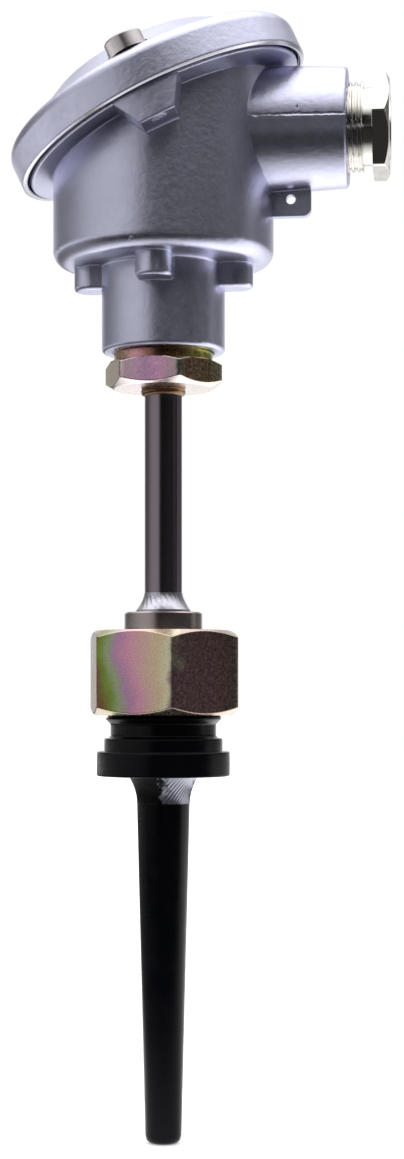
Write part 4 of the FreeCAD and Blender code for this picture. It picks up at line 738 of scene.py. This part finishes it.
# painted shade: the pits darken to 0.45 and the seam to 0.70 of the colour
pit_shade = add(tree, "MapRange", {"Value": pit, "To Min": 1.0, "To Max": 0.45})
seam_shade = add(tree, "MapRange", {"Value": seam, "To Min": 1.0, "To Max": 0.70})
hollow_shade = add(tree, "Math", {0: pit_shade, 1: seam_shade}, operation="MULTIPLY")
darkened = add(tree, "Math", {0: shade, 1: hollow_shade}, operation="MULTIPLY")
toned = add(tree, "VectorMath", {0: linear(CAST_COLOUR)[:3], 1: darkened}, operation="MULTIPLY")
tree.links.new(toned.outputs[0], surface.inputs["Base Color"])
matt = add(tree, "MapRange", {"Value": peel, "From Min": 0.3, "From Max": 0.7,
                              "To Min": 0.31, "To Max": 0.37})
tree.links.new(matt.outputs[0], surface.inputs["Roughness"])

edges = add(tree, "Bevel", {"Radius": CAST_EDGE * MM}, samples=4)
peel_bump = add(tree, "Bump", {"Strength": 0.6, "Distance": PEEL_DEPTH * MM, "Height": peel,
                               "Normal": edges})
grit_bump = add(tree, "Bump", {"Strength": 0.4, "Distance": GRIT_DEPTH * MM, "Height": grit,
                               "Normal": peel_bump})
sunk = add(tree, "Math", {0: pit, 1: PIT_TIMES, 2: seam}, operation="MULTIPLY_ADD")
raised = add(tree, "Math", {0: rough_break, 1: BREAK_TIMES}, operation="MULTIPLY")
marks = add(tree, "Math", {0: raised, 1: sunk}, operation="SUBTRACT")
marks_bump = add(tree, "Bump", {"Strength": 1.0, "Distance": SEAM_DEPTH * MM, "Height": marks,
                                "Normal": grit_bump})
tree.links.new(marks_bump.outputs[0], surface.inputs["Normal"])
dress(cast_aluminium, "head_housing")


# Measuring insert: a plate on two sprung screws with its terminals, and a thin mineral-filled sheath
# that ends in the sensing element at the bottom of the thermowell.

dress(stainless, "insert_plate", "insert_sleeve", "insert_sheath")
# Compacted magnesia: chalky white powder round the conductors.
magnesia = grained("compacted_magnesia", "#e9e6dc", 0.85, 0.0, grain=0.3, depth=0.02)
dress(magnesia, "insert_core")
# Glazed ceramic of the element's body and the terminal block: white and softly shining.
ceramic = grained("glazed_steatite_ceramic", "#ece7da", 0.28, 0.0, grain=2.5, depth=0.02, contrast=0.06)
dress(ceramic, "rtd_element", "terminal_block")
# Zinc-plated steel screws: bright blue-grey.
zinc_steel = grained("zinc_plated_steel", "#b9bcc2", 0.30, 1.0, grain=0.8, depth=0.01)
dress(zinc_steel, "insert_screw_front", "insert_screw_rear", "terminal_screws")
# Turned brass, nickel free: warm yellow clamps in the block's pockets.
plain_brass = grained("turned_brass", "#c8a45a", 0.28, 1.0, grain=0.7, depth=0.01)
dress(plain_brass, "terminal_clamps")
# Glass-silk and silicone insulation of the four leads: off-white and matt.
lead_cover = grained("silicone_lead_insulation", "#dcd6cc", 0.6, 0.0, grain=0.4, depth=0.02)
dress(lead_cover, "insert_leads")
# Hard-drawn spring wire: smooth and grey.
spring_steel = grained("drawn_spring_steel", "#8f9196", 0.26, 1.0, grain=0.5, depth=0.01)

SPRING_SIDE = 16.5
SPRING_FOOT, SPRING_HEAD = 136.35, 149.65
SPRING_RADIUS, WIRE_RADIUS = 3.0, 0.35
# turns of each spring, how far each closed end turn rises, and points along the wire and round it
SPRING_TURNS = 6.5
CLOSED_RISE = 0.72
SPRING_CUTS = 235
WIRE_ANGLES = np.radians(np.arange(0.0, 360.0, 30.0))


def spring(side):
    """Wire wound on a cylinder: the wire's centre is at R (cos t, sin t), with its rise slow in the
    first and last turn and even between; a circle of the wire's radius is swept along it, shut at
    both ends."""
    turns = np.linspace(0.0, SPRING_TURNS, SPRING_CUTS)[:, None]
    rise = np.interp(turns, [0.0, 1.0, SPRING_TURNS - 1.0, SPRING_TURNS],
                     [SPRING_FOOT, SPRING_FOOT + CLOSED_RISE, SPRING_HEAD - CLOSED_RISE, SPRING_HEAD])
    section = WIRE_ANGLES[None, :]
    wire = np.full((SPRING_CUTS, 1), WIRE_RADIUS)
    wire[[0, -1]] = 0.0
    radius = SPRING_RADIUS + wire * np.cos(section)
    around = 2 * np.pi * turns
    return np.stack([radius * np.cos(around), side + radius * np.sin(around),
                     rise + wire * np.sin(section)], axis=-1)


for name, side in (("insert_spring_front", -SPRING_SIDE), ("insert_spring_rear", SPRING_SIDE)):
    wound = skin(name + "_wire", spring(side), spring_steel, "probe", "spring_steel", name)
    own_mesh(wound)


# Lid with its gasket, washers and screws: a die-cast cap of the housing's aluminium, held down on the
# rubber ring by two slotted cheese-head screws. Its lower edge is a ring of lighter aluminium: a painted
# highlight.

LID_CENTRE = 167.2
LID_TILT = math.radians(25)
LID_EDGE = [(39.4, 0.3), (39.55, -0.05), (38.85, -0.75), (38.45, -0.75), (38.3, -0.5), (38.3, 0.3)]
LID_EDGE_ROUNDS = [0.0, 0.15, 0.1, 0.1, 0.1, 0.0]
# the cut ran a little out of true: the edge hangs by this share of its depth in the middle, and by
# this much more at the cable entry and less away from it, at this distance
HANG_MIDDLE, HANG_SWING, HANG_REACH = 0.7, 0.3, 39.6


def tilt_to_lid(points):
    """Turns an upright piece to the lid's tilt about Y, with its foot at the lid's centre: x becomes
    x cos(tilt) - z sin(tilt), and z becomes x sin(tilt) + z cos(tilt) + centre."""
    x, y, z = points[..., 0], points[..., 1], points[..., 2]
    return np.stack([x * math.cos(LID_TILT) - z * math.sin(LID_TILT), y,
                     x * math.sin(LID_TILT) + z * math.cos(LID_TILT) + LID_CENTRE], axis=-1)


# Lid edge aluminium: smoother than the cast skin, and lighter, a painted highlight along the edge.
lid_edge_highlight_aluminium = grained("lid_edge_highlight_aluminium", "#dadbe6", 0.22, 1.0, grain=0.3, depth=0.01,
                           contrast=0.08)
lid_edge = revolve(soften(LID_EDGE, LID_EDGE_ROUNDS))
hang = HANG_MIDDLE + HANG_SWING * lid_edge[..., 0] / HANG_REACH
lid_edge[..., 2] *= np.where(lid_edge[..., 2] < 0, hang, 1.0)
skin("lid_lower_edge", tilt_to_lid(lid_edge), lid_edge_highlight_aluminium, "lid", "cast_aluminium")
dress(cast_aluminium, "head_lid")
dress(black_rubber, "lid_gasket")
# Screws and washers: steel, nickel plated with a warm cast and dulled by handling.
screw_steel = grained("handled_nickel_on_steel", "#c4bdc0", 0.24, 1.0, grain=0.9, depth=0.015)
dress(screw_steel, "lid_screw_front", "lid_screw_rear", "lid_washer_front", "lid_washer_rear")


# Cable gland: the pressure screw turned from hexagon brass and nickel plated, over its thrust
# washer, rubber ring and inner washer.

GLAND_FLATS = 24.0
GLAND_TURN = 26.0
GLAND_AXIS = 164.55
NOSE_START, THREAD_END, HEX_START, HEX_END = 43.0, 51.3, 53.7, 57.9
NOSE_BORE, NOSE_RADIUS, GLAND_RELIEF, GLAND_MOUTH = 7.6, 10.3, 9.7, 8.4
GLAND_THREAD = (43.9, 51.2, 11.2, 0.75, 1.411)
HEX_BEVEL = 1.2
GLAND_BEVEL_START = GLAND_FLATS / math.sqrt(3) - HEX_BEVEL / BEVEL_SLOPE

GLAND_HEAD = [
    (GLAND_RELIEF, THREAD_END), (GLAND_RELIEF, HEX_START), (None, HEX_START),
    (None, (HEX_END, GLAND_BEVEL_START, -BEVEL_SLOPE)), (GLAND_BEVEL_START, HEX_END),
    (GLAND_MOUTH, HEX_END), (NOSE_BORE, 57.1)]
GLAND_HEAD_ROUNDS = [0.2, 0.2, 0.15, 0.2, 0.2, 0.15, 0.1]
NICKEL_HAZE = 2.5


def lay_on_entry(points):
    """Lays an upright piece on the entry's axis: (x, y, z) becomes (z, y, axis - x)."""
    return np.stack([points[..., 2], points[..., 1], GLAND_AXIS - points[..., 0]], axis=-1)


# Nickel-plated brass: a near mirror, faintly warm, with a haze from handling.
nickel, tree, surface = finish("nickel_plated_brass", "#dedbd6", 0.10)
place = add(tree, "TexCoord", {}).outputs["Object"]
haze = add(tree, "TexNoise", {"Vector": place, "Scale": cells(NICKEL_HAZE), "Detail": 4.0})
hazed = add(tree, "MapRange", {"Value": haze, "From Min": 0.35, "From Max": 0.7,
                               "To Min": 0.08, "To Max": 0.2})
tree.links.new(hazed.outputs[0], surface.inputs["Roughness"])
dress(nickel, "gland_thrust_washer", "gland_inner_washer")
dress(black_rubber, "gland_seal_ring")

gland_angles, gland_reach = six_sides(GLAND_FLATS, GLAND_TURN)
gland_outline = np.concatenate([
    each_angle(np.array([(NOSE_BORE, NOSE_START), (NOSE_RADIUS, NOSE_START)]), gland_angles),
    thread(*GLAND_THREAD, gland_angles),
    soften(hex_outline(gland_reach, GLAND_HEAD), GLAND_HEAD_ROUNDS)], axis=1)
skin("gland_screw", lay_on_entry(revolve(gland_outline, gland_angles)), nickel, "gland_pressure_screw",
     "nickel_brass", "gland_pressure_screw")
